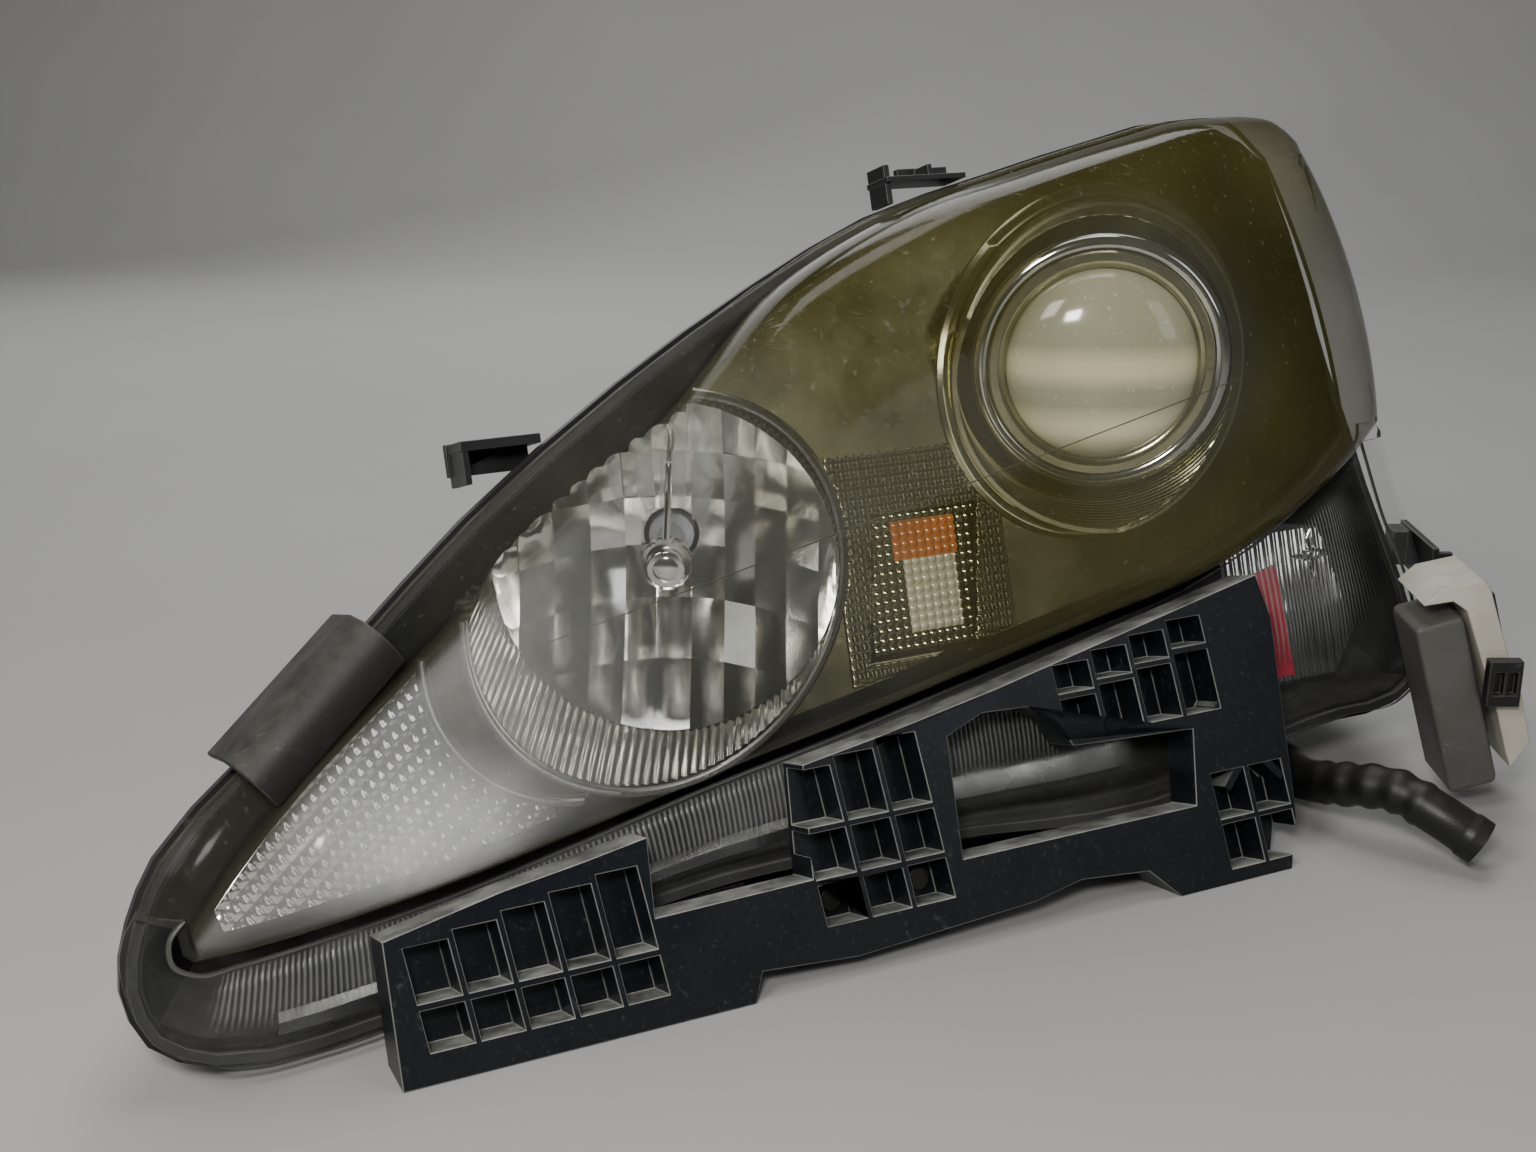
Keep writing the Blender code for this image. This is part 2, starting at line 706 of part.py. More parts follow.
def side_bowl_space(parent, name, extra):
    bm = bmesh.new()
    run = Vector((0.0, 0.150, 0.0))
    rod(bm, SIDE_BOWL - run, SIDE_BOWL + run, SIDE_BOWL_RADIUS + extra, sides=36)
    return place(from_bmesh(name, bm, cutter=True), None, parent)


def high_bowl_space(parent):
    bm = bmesh.new()
    run = Vector((0.0, 0.150, 0.0))
    rod(bm, HIGH - run, HIGH + run, HIGH_RADIUS + 0.0026, sides=40)
    return place(from_bmesh("high_bowl_space", bm, cutter=True), None, parent)


def ladder_sheet(name, samples, margin, height, parent, mat):
    """A sheet between the lower and upper foot edges of the lens, pulled in by a margin."""
    bm = bmesh.new()
    grid = []
    for t in samples:
        ends = lens_rung(t, [0.0, 1.0])
        length = (ends[1] - ends[0]).length
        shares = [margin / length + (1.0 - 2.0 * margin / length) * i / 4 for i in range(5)]
        flats = lens_rung(t, shares)
        grid.append([bm.verts.new((p.x, p.y, edge_height(p.x) + height)) for p in flats])
    skin(bm, grid)
    obj = place(from_bmesh(name, bm), mat, parent)
    solidify(obj, 2.0 * MM)
    return obj


def add_bezel(lens_frame, stand, mats):
    samples = [4.25 + i * (11.72 - 4.25) / 12 for i in range(13)]
    bezel = ladder_sheet("inner_bezel", samples, 0.0070, -0.0095, lens_frame, mats["bezel"])
    cut(bezel, bezel_cutters(stand))
    cut(bezel, side_bowl_space(stand, "side_bowl_opening", 0.0032))
    smooth_shading(bezel)
    tip_samples = [0.75 + i * (3.88 - 0.75) / 7 for i in range(8)]
    tip = ladder_sheet("tip_reflector", tip_samples, 0.0055, -0.0095, lens_frame, mats["chrome"])
    cut(tip, side_bowl_space(stand, "tip_opening", 0.0032))
    smooth_shading(tip)


def paraboloid(radius, focus, wall, reach, hole):
    """Closed profile of a bowl with a straight lip, as (radius, height above its vertex)."""
    outside = []
    inside = []
    steps = 7
    depth = radius * radius / (4.0 * focus)
    for i in range(steps + 1):
        r = hole + (radius - hole) * i / steps
        outside.append((r + wall, r * r / (4.0 * focus) - wall * 0.6))
        inside.append((r, r * r / (4.0 * focus) + wall * 0.4))
    outside.append((radius + wall, depth + reach))
    inside.append((radius, depth + reach))
    return list(reversed(outside)) + inside


def add_high_beam(stand, prism, mats):
    bowl = turned(
        "high_beam_reflector", paraboloid(HIGH_RADIUS, HIGH_FOCUS, 2.0 * MM, 0.070, 11.0 * MM),
        stand, HIGH, mats["chrome"], sides=40, closed=True,
    )
    cut(bowl, prism, "INTERSECT")
    side = turned(
        "side_reflector_bowl",
        paraboloid(SIDE_BOWL_RADIUS, HIGH_FOCUS, 2.0 * MM, 0.070, 3.0 * MM),
        stand, SIDE_BOWL, mats["chrome"], sides=36, closed=True,
    )
    cut(side, prism, "INTERSECT")
    cut(side, high_bowl_space(stand))
    bulb = [(0.0, 0.034), (3.5 * MM, 0.033), (5.5 * MM, 0.029), (5.5 * MM, 0.006), (9.0 * MM, 0.004),
            (9.0 * MM, -0.010), (0.0, -0.010)]
    turned("high_beam_bulb", bulb, stand, HIGH, mats["glass"], sides=16)
    shield = [(0.0, 0.050), (7.0 * MM, 0.049), (9.5 * MM, 0.044), (9.5 * MM, 0.037),
              (8.0 * MM, 0.037), (8.0 * MM, 0.043), (6.0 * MM, 0.046), (0.0, 0.047)]
    cup = turned("bulb_shield", shield, stand, HIGH, mats["chrome"], sides=20)
    bm = bmesh.new()
    rod(bm, (0.0, 0.0082, 0.041), (0.0, 0.0315, 0.0150), 1.4 * MM, sides=8)
    leg = place(from_bmesh("shield_leg", bm, cutter=True), None, cup)
    cut(cup, leg, "UNION")


def add_low_beam(pan, stand, lens_frame, mats):
    """The projector unit, whose pieces all turn about the pan axis."""
    def at(y):
        return Vector((0.0, y - PAN_Y, 0.0))

    lens = []
    for i in range(8):
        angle = math.radians(90.0 * i / 7)
        lens.append((LENS_RADIUS * math.sin(angle), 0.004 + 0.0145 * math.cos(angle)))
    lens += [(LENS_RADIUS, 0.0), (0.0, 0.0)]
    turned("projector_lens", lens, pan, at(LOW.y + 0.0070), mats["lens_glass"], sides=36)
    holder = [(HOLDER_RADIUS, 0.0), (HOLDER_RADIUS, -0.028), (LENS_RADIUS - 0.003, -0.028),
              (LENS_RADIUS - 0.003, -0.0065), (LENS_RADIUS + GAP, -0.0065), (LENS_RADIUS + GAP, 0.0)]
    turned("lens_holder", holder, pan, at(LOW.y + 0.0025), mats["dark"], sides=36, closed=True)
    ring = [(HOLDER_RADIUS + 0.003, 0.004), (RING_RADIUS, 0.001), (RING_RADIUS, -0.012),
            (HOLDER_RADIUS + GAP, -0.012), (HOLDER_RADIUS + GAP, 0.003)]
    turned("projector_ring", ring, pan, at(LOW.y + 0.0065), mats["chrome"], sides=36, closed=True)
    bowl = []
    inner = []
    for i in range(6):
        share = i / 5
        radius = 0.0440 - 0.0270 * share ** 2.2
        bowl.append((radius, -0.082 * share))
        inner.append((radius - 0.0022, -0.082 * share))
    bowl_piece = turned("projector_reflector", bowl + list(reversed(inner)), pan,
                        at(LOW.y + 0.0308), mats["cast"], sides=28, closed=True)
    x = ADJUST_H.x - LOW.x
    z = ADJUST_H.z - LOW.z
    bm = bmesh.new()
    box(bm, (x - 0.0082, -0.0265, z - 0.0088), (-0.0405, -0.0235, z + 0.0088))
    cut(bowl_piece, place(from_bmesh("pan_ear", bm, cutter=True), None, pan), "UNION")
    bm = bmesh.new()
    rod(bm, (x, -0.04, z), (x, -0.01, z), EAR_BORE, sides=16)
    cut(bowl_piece, place(from_bmesh("pan_ear_bore", bm, cutter=True), None, pan))
    bm = bmesh.new()
    box(bm, (-0.028, at(LOW.y + 0.033).y, -0.028), (0.028, at(LOW.y + 0.035).y, -0.002))
    place(from_bmesh("cutoff_shade", bm), mats["steel"], pan)
    capsule = [(0.0, 0.046), (3.0 * MM, 0.044), (4.4 * MM, 0.039), (4.4 * MM, 0.008),
               (12.0 * MM, 0.006), (12.0 * MM, 0.0), (0.0, 0.0)]
    turned("discharge_bulb", capsule, pan, at(LOW.y + 0.1135), mats["glass"], sides=16)
    bm = bmesh.new()
    box(bm, (-0.017, at(LOW.y + 0.1138).y, -0.017), (0.017, at(LOW.y + 0.1440).y, 0.017))
    igniter = place(from_bmesh("bulb_igniter", bm), mats["dark"], pan)
    bevel = igniter.modifiers.new("round", "BEVEL")
    bevel.width = 2.5 * MM
    bevel.segments = 2
    for name, side in (("pan_pin_upper", 1.0), ("pan_pin_lower", -1.0)):
        bm = bmesh.new()
        rod(bm, (0, 0, side * 0.0365), (0, 0, side * 0.0520), 3.5 * MM, sides=14)
        place(from_bmesh(name, bm), mats["steel"], pan)
    shroud = [(SHROUD_RADIUS + 0.002, 0.060), (SHROUD_RADIUS + 0.002, -0.004),
              (SHROUD_RADIUS - 0.004, -0.004), (SHROUD_RADIUS - 0.004, 0.010), (SHROUD_RADIUS, 0.060)]
    cup = turned("projector_shroud", shroud, stand, (LOW.x, LOW.y + 0.036, LOW.z), mats["bezel"],
                 sides=40, closed=True)
    cut(cup, shroud_space(lens_frame))


def shroud_space(parent):
    """Everything in front of a plane parallel to the lens, which trims the shroud."""
    bm = bmesh.new()
    box(bm, (-0.05, -0.10, 0.006), (0.30, 0.25, 0.200))
    return place(from_bmesh("shroud_trim", bm, cutter=True), None, parent)


def aiming_arms(tilt):
    """Fork round the ball of the levelling rod, and the ear of the vertical screw."""
    low = LOW.z - TILT_Z - 0.056
    ball = MOTOR.z - TILT_Z
    bm = bmesh.new()
    box(bm, (-0.0085, -0.0060, ball + 0.0060), (0.0085, 0.0060, low + 0.005))
    for side in (-1.0, 1.0):
        near, far = sorted((side * 0.0052, side * 0.0085))
        box(bm, (near, -0.0125, ball - 0.0055), (far, -0.0015, ball + 0.0100))
    x = ADJUST_V.x - LOW.x
    z = ADJUST_V.z - TILT_Z
    box(bm, (0.0500, -0.0030, z - 0.0085), (x + 0.0090, 0.0030, low + 0.005))
    return place(from_bmesh("aiming_arms", bm, cutter=True), None, tilt)


def add_aiming(tilt, stand, mats):
    """Frame that tilts about the line through its two upper pivots."""
    low = LOW.z - TILT_Z
    bm = bmesh.new()
    box(bm, (-0.0560, -0.0060, low - 0.056), (0.0560, 0.0060, low + 0.0460))
    frame = place(from_bmesh("aiming_frame", bm), mats["dark"], tilt)
    cut(frame, aiming_arms(tilt), "UNION")
    bm = bmesh.new()
    rod(bm, (ADJUST_V.x - LOW.x, -0.02, ADJUST_V.z - TILT_Z), (ADJUST_V.x - LOW.x, 0.02, ADJUST_V.z - TILT_Z),
        EAR_BORE, sides=16)
    rod(bm, (0, -0.02, low), (0, 0.02, low), 0.0410, sides=32)
    rod(bm, (0, 0, low - 0.060), (0, 0, low + 0.060), 0.0035 + GAP, sides=14)
    cut(frame, place(from_bmesh("aiming_frame_bores", bm, cutter=True), None, tilt))
    for name, side in (("tilt_pin_inboard", -1.0), ("tilt_pin_outboard", 1.0)):
        bm = bmesh.new()
        rod(bm, (side * (0.0560 + GAP), 0, 0), (side * 0.0720, 0, 0), 3.5 * MM, sides=14)
        place(from_bmesh(name, bm), mats["steel"], tilt)
    for name, side in (("pivot_post_inboard", -1.0), ("pivot_post_outboard", 1.0)):
        x = LOW.x + side * 0.0660
        end = min(rear_y(x - 0.006) - HOUSING_WALL / math.cos(math.atan(REAR_SLOPE)) - GAP, POST_END)
        bm = bmesh.new()
        box(bm, (x - 0.006, PAN_Y - 0.009, TILT_Z - 0.008), (x + 0.006, end, TILT_Z + 0.008))
        post = place(from_bmesh(name, bm), mats["dark"], stand)
        bm = bmesh.new()
        rod(bm, (x - 0.02, PAN_Y, TILT_Z), (x + 0.02, PAN_Y, TILT_Z), 0.0035 + GAP, sides=14)
        cut(post, place(from_bmesh(name + "_bore", bm, cutter=True), None, stand))


def add_turn_signal(stand, socket, lens_frame, prism, mats):
    wide, tall = TURN_BOX
    bm = bmesh.new()
    box(bm, (-wide / 2, -0.060, -tall / 2), (wide / 2, 0.048, tall / 2))
    shell = place(from_bmesh("turn_reflector", bm), mats["chrome"], stand, TURN)
    bm = bmesh.new()
    wall = 2.0 * MM
    box(bm, (-wide / 2 + wall, -0.080, -tall / 2 + wall), (wide / 2 - wall, 0.046, tall / 2 - wall))
    rod(bm, (0, 0.03, 0), (0, 0.06, 0), 11.0 * MM, sides=20)
    hollow = place(from_bmesh("turn_reflector_hollow", bm, cutter=True), None, stand, TURN)
    cut(shell, hollow)
    cut(shell, prism, "INTERSECT")
    pane = outline_solid(
        "turn_optic", [[(0.004, -0.070), (0.068, -0.070), (0.068, 0.030), (0.004, 0.030)]],
        -0.0155, -0.0130, lens_frame, mats["optic"],
    )
    bm = bmesh.new()
    clear = wall + GAP
    box(bm, (-wide / 2 + clear, -0.090, -tall / 2 + clear), (wide / 2 - clear, 0.046, tall / 2 - clear))
    cut(pane, place(from_bmesh("turn_optic_bounds", bm, cutter=True), None, stand, TURN), "INTERSECT")
    back = rear_y(TURN.x) + 0.008 - TURN.y
    bulb = [(0.0, -0.008), (6.0 * MM, -0.0095), (9.0 * MM, -0.015), (9.0 * MM, -0.024),
            (5.5 * MM, -0.034), (5.5 * MM, -back + 0.012), (0.0, -back + 0.012)]
    turned("turn_bulb", bulb, socket, (0, TURN.y - rear_y(TURN.x), 0), mats["amber"], sides=18)
    add_socket("turn_socket", socket, 0.008, 11.6 * MM, 17.0 * MM, mats["dark"])


def add_socket(name, parent, stand_off, plug, head, mat):
    """Quarter-turn lamp socket: plug in the collar, head outside with a grip bar."""
    bm = bmesh.new()
    rod(bm, (0, stand_off - 0.0115, 0), (0, stand_off + 0.006, 0), plug, sides=20)
    plugged = place(from_bmesh(name, bm), mat, parent)
    bm = bmesh.new()
    rod(bm, (0, stand_off + GAP, 0), (0, stand_off + 0.005, 0), head, sides=20)
    box(bm, (-head * 0.8, stand_off + 0.004, -0.003), (head * 0.8, stand_off + 0.014, 0.003))
    box(bm, (-0.006, stand_off + 0.0135, -0.008), (0.006, stand_off + 0.024, 0.008))
    grip = place(from_bmesh(name + "_grip", bm, cutter=True), None, parent)
    cut(plugged, grip, "UNION")
    smooth_shading(plugged)


def add_marker(lens_frame, socket, mats):
    """Side marker inside the outboard end of the lower lens."""
    flat = ((0.206, -0.078), (0.262, -0.077), (0.276, -0.058), (0.262, -0.010), (0.240, -0.006),
            (0.206, -0.018))
    outline_solid("marker_reflector", [flat], -0.0500, -0.0475, lens_frame, mats["chrome"])
    red = ((0.196, -0.070), (0.216, -0.070), (0.213, -0.022), (0.196, -0.026))
    outline_solid("red_reflector", [red], -0.0225, -0.0190, lens_frame, mats["red"])
    bulb = [(0.0, -0.030), (5.0 * MM, -0.0320), (7.0 * MM, -0.037), (7.0 * MM, -0.048),
            (4.0 * MM, -0.054), (4.0 * MM, -0.0655), (0.0, -0.0655)]
    turned("marker_bulb", bulb, socket, (0, MARKER.y - 0.008 - rear_y(MARKER.x), 0), mats["glass"],
           sides=14)
    add_socket("marker_socket", socket, 0.008, 8.7 * MM, 13.5 * MM, mats["dark"])


def add_trim_rail(parent, mat):
    """Bright rail behind the lower lens."""
    inner = in_metres([pair[0] for pair in APRON])
    outer = in_metres([pair[1] for pair in APRON])
    section = ((0.56, 17.5), (0.64, 14.5), (0.74, 14.5), (0.79, 17.5))
    bm = bmesh.new()
    rows = []
    for i in range(19):
        t = 3.5 + i * 8.0 / 18
        near = glide(inner, t)
        far = glide(outer, t)
        row = []
        for share, drop in section:
            flat = near.lerp(far, share)
            row.append(bm.verts.new((flat.x, flat.y, edge_height(flat.x) - drop * MM)))
        rows.append(row)
    skin(bm, rows, flip=True)
    obj = place(from_bmesh("trim_rail", bm), mat, parent)
    solidify(obj, 1.6 * MM)
    smooth_shading(obj)


# ---------------------------------------------------------------- rear covers and drives

def add_covers(low_cap, high_cap, stand, mats):
    """Twist-off covers over the two bulbs, each on its rubber seal."""
    for name, hub, parent, radius, depth in (
        ("low_beam", LOW, low_cap, LOW_COLLAR, 0.026), ("high_beam", HIGH, high_cap, HIGH_COLLAR, 0.022),
    ):
        seal = [(radius + 0.0015, 0.003), (radius + 0.0015, 0.0), (radius - 0.0035, 0.0),
                (radius - 0.0035, 0.003)]
        end = LOW_COLLAR_END if name == "low_beam" else HIGH_COLLAR_END
        turned(name + "_seal", seal, stand, (hub.x, end + GAP + 0.003, hub.z), mats["rubber"],
               sides=32, closed=True)
        cap = [(0.0, -depth + 0.0025), (radius - 0.0105, -depth + 0.0025),
               (radius - 0.0075, -depth + 0.004), (radius - 0.004, -0.010), (radius - 0.004, 0.0),
               (radius + 0.003, 0.0), (radius + 0.003, -0.008), (radius - 0.005, -depth + 0.003),
               (radius - 0.009, -depth), (0.0, -depth)]
        cover = turned(name + "_cover", cap, parent, (0, 0, 0), mats["dark"], sides=32)
        bm = bmesh.new()
        for i in range(6):
            turn = Matrix.Rotation(math.radians(60.0 * i + 30.0), 4, "Y")
            start = len(bm.verts)
            box(bm, (radius - 0.0015, 0.0015, -0.005), (radius + 0.0065, 0.0075, 0.005))
            bm.verts.ensure_lookup_table()
            bmesh.ops.transform(bm, matrix=turn, verts=bm.verts[start:])
        box(bm, (-radius * 0.62, depth - 0.002, -0.0035), (radius * 0.62, depth + 0.007, 0.0035))
        lugs = place(from_bmesh(name + "_cover_grips", bm, cutter=True), None, parent)
        cut(cover, lugs, "UNION")


def add_levelling(rod_body, stand, mats):
    bm = bmesh.new()
    box(bm, (-0.030, 0.0, -0.030), (0.030, 0.030, 0.024))
    motor = place(from_bmesh("levelling_motor", bm), mats["dark"], stand, MOTOR)
    bm = bmesh.new()
    box(bm, (-0.016, 0.012, -0.045), (0.010, 0.028, -0.029))
    rod(bm, (-0.008, 0.029, 0.004), (-0.008, 0.036, 0.004), 0.016, sides=20)
    cut(motor, place(from_bmesh("motor_details", bm, cutter=True), None, stand, MOTOR), "UNION")
    bm = bmesh.new()
    rod(bm, (0, -0.02, 0), (0, 0.020, 0), 0.0045, sides=16)
    cut(motor, place(from_bmesh("motor_bore", bm, cutter=True), None, stand, MOTOR))
    push = [(0.0, 0.070), (4.5 * MM, 0.067), (4.5 * MM, 0.062), (2.6 * MM, 0.059),
            (4.0 * MM, 0.055), (4.0 * MM, -0.008), (0.0, -0.008)]
    turned("levelling_rod", push, rod_body, (0, 0, 0), mats["white"], sides=14)


def add_adjusters(vertical, horizontal, mats):
    """Long aiming screws with a hexagon head outside the rear wall."""
    for name, parent, length in (("vertical_adjuster", vertical, 0.080),
                                 ("horizontal_adjuster", horizontal, 0.054)):
        bm = bmesh.new()
        rod(bm, (0, -length, 0), (0, 0.002, 0), 3.2 * MM, sides=12)
        shaft = place(from_bmesh(name, bm), mats["white"], parent)
        bm = bmesh.new()
        rod(bm, (0, GAP, 0), (0, 0.004, 0), 7.5 * MM, sides=18)
        rod(bm, (0, 0.003, 0), (0, 0.013, 0), 4.6 * MM, sides=6)
        cut(shaft, place(from_bmesh(name + "_head", bm, cutter=True), None, parent), "UNION")


def add_ballast(stand, mats):
    """Discharge lamp ballast under the housing, on its gasket, held by two screws."""
    frame = empty("ballast_frame", BALLAST_AT, (0.0, 0.0, BALLAST_TURN), stand)
    long, deep, high = BALLAST_SIZE
    bm = bmesh.new()
    box(bm, (-long / 2, -deep / 2, 0.0), (long / 2, deep / 2, high - 0.0035))
    case = place(from_bmesh("ballast", bm), mats["cast"], frame)
    bevel = case.modifiers.new("round", "BEVEL")
    bevel.width = 3.0 * MM
    bevel.segments = 2
    bm = bmesh.new()
    for i in range(7):
        x = -long / 2 + 0.014 + i * 0.0125
        box(bm, (x, -deep / 2 - 0.01, 0.006), (x + 0.005, -deep / 2 + 0.004, high - 0.010))
    cut(case, place(from_bmesh("ballast_fins", bm, cutter=True), None, frame))
    bm = bmesh.new()
    for x, y in BALLAST_SCREWS:
        side = math.copysign(1.0, x)
        low_x, high_x = sorted((x - side * 0.010, x + side * 0.006))
        box(bm, (low_x, y - 0.0055, high - 0.0080), (high_x, y + 0.0055, high - 0.0040))
    cut(case, place(from_bmesh("ballast_ears", bm, cutter=True), None, frame), "UNION")
    bm = bmesh.new()
    for x, y in BALLAST_SCREWS:
        rod(bm, (x, y, high - 0.015), (x, y, high), SCREW_RADIUS + GAP, sides=12)
    cut(case, place(from_bmesh("ballast_screw_holes", bm, cutter=True), None, frame))
    for i, (x, y) in enumerate(BALLAST_SCREWS):
        bm = bmesh.new()
        rod(bm, (x, y, high - 0.0090), (x, y, high + 0.0030), SCREW_RADIUS, sides=12)
        screw = place(from_bmesh("ballast_screw_%d" % (i + 1), bm), mats["steel"], frame)
        bm = bmesh.new()
        rod(bm, (x, y, high - 0.0118), (x, y, high - 0.0083), 3.8 * MM, sides=6)
        head = place(from_bmesh("ballast_screw_head_%d" % (i + 1), bm, cutter=True), None, frame)
        cut(screw, head, "UNION")
    bm = bmesh.new()
    inset_by = 0.006
    box(bm, (-long / 2 + inset_by, -deep / 2 + inset_by, high - 0.0035 + GAP),
        (long / 2 - inset_by, deep / 2 - inset_by, high + 0.0028))
    gasket = place(from_bmesh("ballast_gasket", bm), mats["rubber"], frame)
    bm = bmesh.new()
    box(bm, (-long / 2 + 0.012, -deep / 2 + 0.012, high - 0.01),
        (long / 2 - 0.012, deep / 2 - 0.012, high + 0.01))
    cut(gasket, place(from_bmesh("gasket_hole", bm, cutter=True), None, frame))
    return frame


# ---------------------------------------------------------------- brackets and fittings

def pocket(bm, low_u, high_u, low_v, high_v):
    """One pocket between leaning ribs, cut into the front of the bracket."""
    depth = BRACKET_FRONT - BRACKET_DEPTH + POCKET_FLOOR
    corners = [(low_u, low_v), (high_u, low_v), (high_u, high_v), (low_u, high_v)]
    lower = []
    upper = []
    for u, v in corners:
        shift = RIB_LEAN * (v + 0.100)
        lower.append(bm.verts.new((u + shift, v, depth)))
        upper.append(bm.verts.new((u + shift, v, BRACKET_FRONT + 0.004)))
    skin(bm, [lower, upper], closed=True, flip=True)
    bm.faces.new(list(reversed(lower)))
    bm.faces.new(upper)


def bracket_pockets(parent):
    """Grids of pockets: inboard block, middle block, top band and outboard block."""
    bm = bmesh.new()
    for i in range(5):
        u = (-186.0 + i * 17.4) * MM
        top = (-95.5 + i * 2.6) * MM
        pocket(bm, u, u + 15.0 * MM, -114.5 * MM, top)
        pocket(bm, u, u + 15.0 * MM, -131.0 * MM, -117.0 * MM)
    for i in range(3):
        u = (-37.0 + i * 18.4) * MM
        top = (-64.0 + i * 3.0) * MM
        for low, high in ((-121.0, -106.0), (-103.6, -87.0), (-84.6, None)):
            pocket(bm, u, u + 16.0 * MM, low * MM, top if high is None else high * MM)
    for i in range(4):
        u = (80.0 + i * 18.6) * MM
        top = (-43.5 + i * 3.1) * MM
        pocket(bm, u, u + 16.2 * MM, -72.0 * MM, top - 13.5 * MM)
        pocket(bm, u, u + 16.2 * MM, top - 11.0 * MM, top)
    for i in range(2):
        u = (140.0 + i * 18.6) * MM
        for low, high in ((-136.0, -118.0), (-115.6, -97.0)):
            pocket(bm, u, u + 16.2 * MM, low * MM, high * MM)
    bmesh.ops.recalc_face_normals(bm, faces=bm.faces)
    return place(from_bmesh("bracket_pockets", bm, cutter=True), None, parent)


def add_bumper_bracket(parent, stand, mats):
    loops = [in_metres(BRACKET), in_metres(BRACKET_ARCH)]
    obj = outline_solid(
        "bumper_bracket", loops, BRACKET_FRONT - BRACKET_DEPTH, BRACKET_FRONT, parent, mats["bracket"]
    )
    cut(obj, bracket_pockets(parent))
    bm = bmesh.new()
    for low_u, high_u, top_v in ((-0.040, 0.022, -0.1090), (0.126, 0.168, -0.1160)):
        box(bm, (low_u, top_v - 0.030, -0.034), (high_u, top_v, 0.0005))
    cut(obj, place(from_bmesh("bracket_legs", bm, cutter=True), None, parent), "UNION")
    bm = bmesh.new()
    box(bm, (-0.3, -0.1, -0.05), (0.4, 0.4, 0.0))
    cut(obj, place(from_bmesh("bench_level", bm, cutter=True), None, stand))
    bm = bmesh.new()
    for u, v in BRACKET_SCREWS:
        rod(bm, (u, v, -0.040), (u, v, 0.010), SCREW_RADIUS + GAP, sides=12)
    cut(obj, place(from_bmesh("bracket_screw_holes", bm, cutter=True), None, parent))
    for i, (u, v) in enumerate(BRACKET_SCREWS):
        bm = bmesh.new()
        floor = BRACKET_FRONT - BRACKET_DEPTH + POCKET_FLOOR + GAP
        rod(bm, (u, v, -0.0410), (u, v, floor + 0.001), SCREW_RADIUS, sides=12)
        screw = place(from_bmesh("bracket_screw_%d" % (i + 1), bm), mats["steel"], parent)
        bm = bmesh.new()
        rod(bm, (u, v, floor), (u, v, floor + 0.0040), 5.0 * MM, 4.2 * MM, sides=16)
        head = place(from_bmesh("bracket_screw_head_%d" % (i + 1), bm, cutter=True), None, parent)
        cut(screw, head, "UNION")
    return obj


def add_inner_bracket(parent, mat):
    """Curved bracket hooked over the skirt and the rim near the tip."""
    start = Vector((-0.2217, -0.0300))
    end = Vector((-0.1822, 0.0020))
    along = (end - start).normalized()
    outward = Vector((-along.y, along.x))
    section = ((-11.0, 0.0), (-6.0, 4.5), (0.0, 5.5), (5.0, 2.5), (8.5, -6.0), (9.0, -30.0))
    bm = bmesh.new()
    rows = []
    for i in range(5):
        share = -0.12 + 1.24 * i / 4
        flat = start + (end - start) * share
        lift = edge_height(flat.x)
        row = []
        for out, height in section:
            point = flat + outward * (out * MM)
            row.append(bm.verts.new((point.x, point.y, lift + height * MM)))
        rows.append(row)
    skin(bm, rows)
    bmesh.ops.recalc_face_normals(bm, faces=bm.faces)
    obj = place(from_bmesh("inner_bracket", bm), mat, parent)
    solidify(obj, 2.4 * MM, offset=1.0)
    smooth_shading(obj)


def add_fittings(lens_frame, stand, mats):
    """Mounting tab, top clip and side stay round the rim."""
    bm = bmesh.new()
    box(bm, (-0.1330, 0.0568, -0.0460), (-0.1020, 0.0688, -0.0430))
    tab = place(from_bmesh("upper_tab", bm), mats["dark"], lens_frame)
    bm = bmesh.new()
    box(bm, (-0.1325, 0.0648, -0.0450), (-0.1025, 0.0683, -0.0250))
    box(bm, (-0.1320, 0.0528, -0.0450), (-0.1295, 0.0668, -0.0260))
    cut(tab, place(from_bmesh("upper_tab_gusset", bm, cutter=True), None, lens_frame), "UNION")
    bm = bmesh.new()
    box(bm, (0.0440, 0.1480, -0.0260), (0.0790, 0.1500, -0.0090))
    clip = place(from_bmesh("top_clip", bm), mats["dark"], lens_frame)
    bm = bmesh.new()
    box(bm, (0.0445, 0.1400, -0.0255), (0.0470, 0.1550, -0.0120))
    box(bm, (0.0560, 0.1490, -0.0250), (0.0785, 0.1550, -0.0220))
    box(bm, (0.0640, 0.1490, -0.0240), (0.0660, 0.1545, -0.0120))
    cut(clip, place(from_bmesh("top_clip_ribs", bm, cutter=True), None, lens_frame), "UNION")
    bm = bmesh.new()
    box(bm, (0.2923, 0.2660, 0.0830), (0.3013, 0.3120, 0.0860))
    stay = place(from_bmesh("side_stay", bm), mats["dark"], stand)
    bm = bmesh.new()
    box(bm, (0.2923, 0.2660, 0.0840), (0.2953, 0.3120, 0.1020))
    box(bm, (0.2923, 0.2660, 0.0840), (0.3013, 0.2690, 0.1000))
    box(bm, (0.2858, 0.2990, 0.0840), (0.2938, 0.3120, 0.1000))
    cut(stay, place(from_bmesh("side_stay_web", bm, cutter=True), None, stand), "UNION")


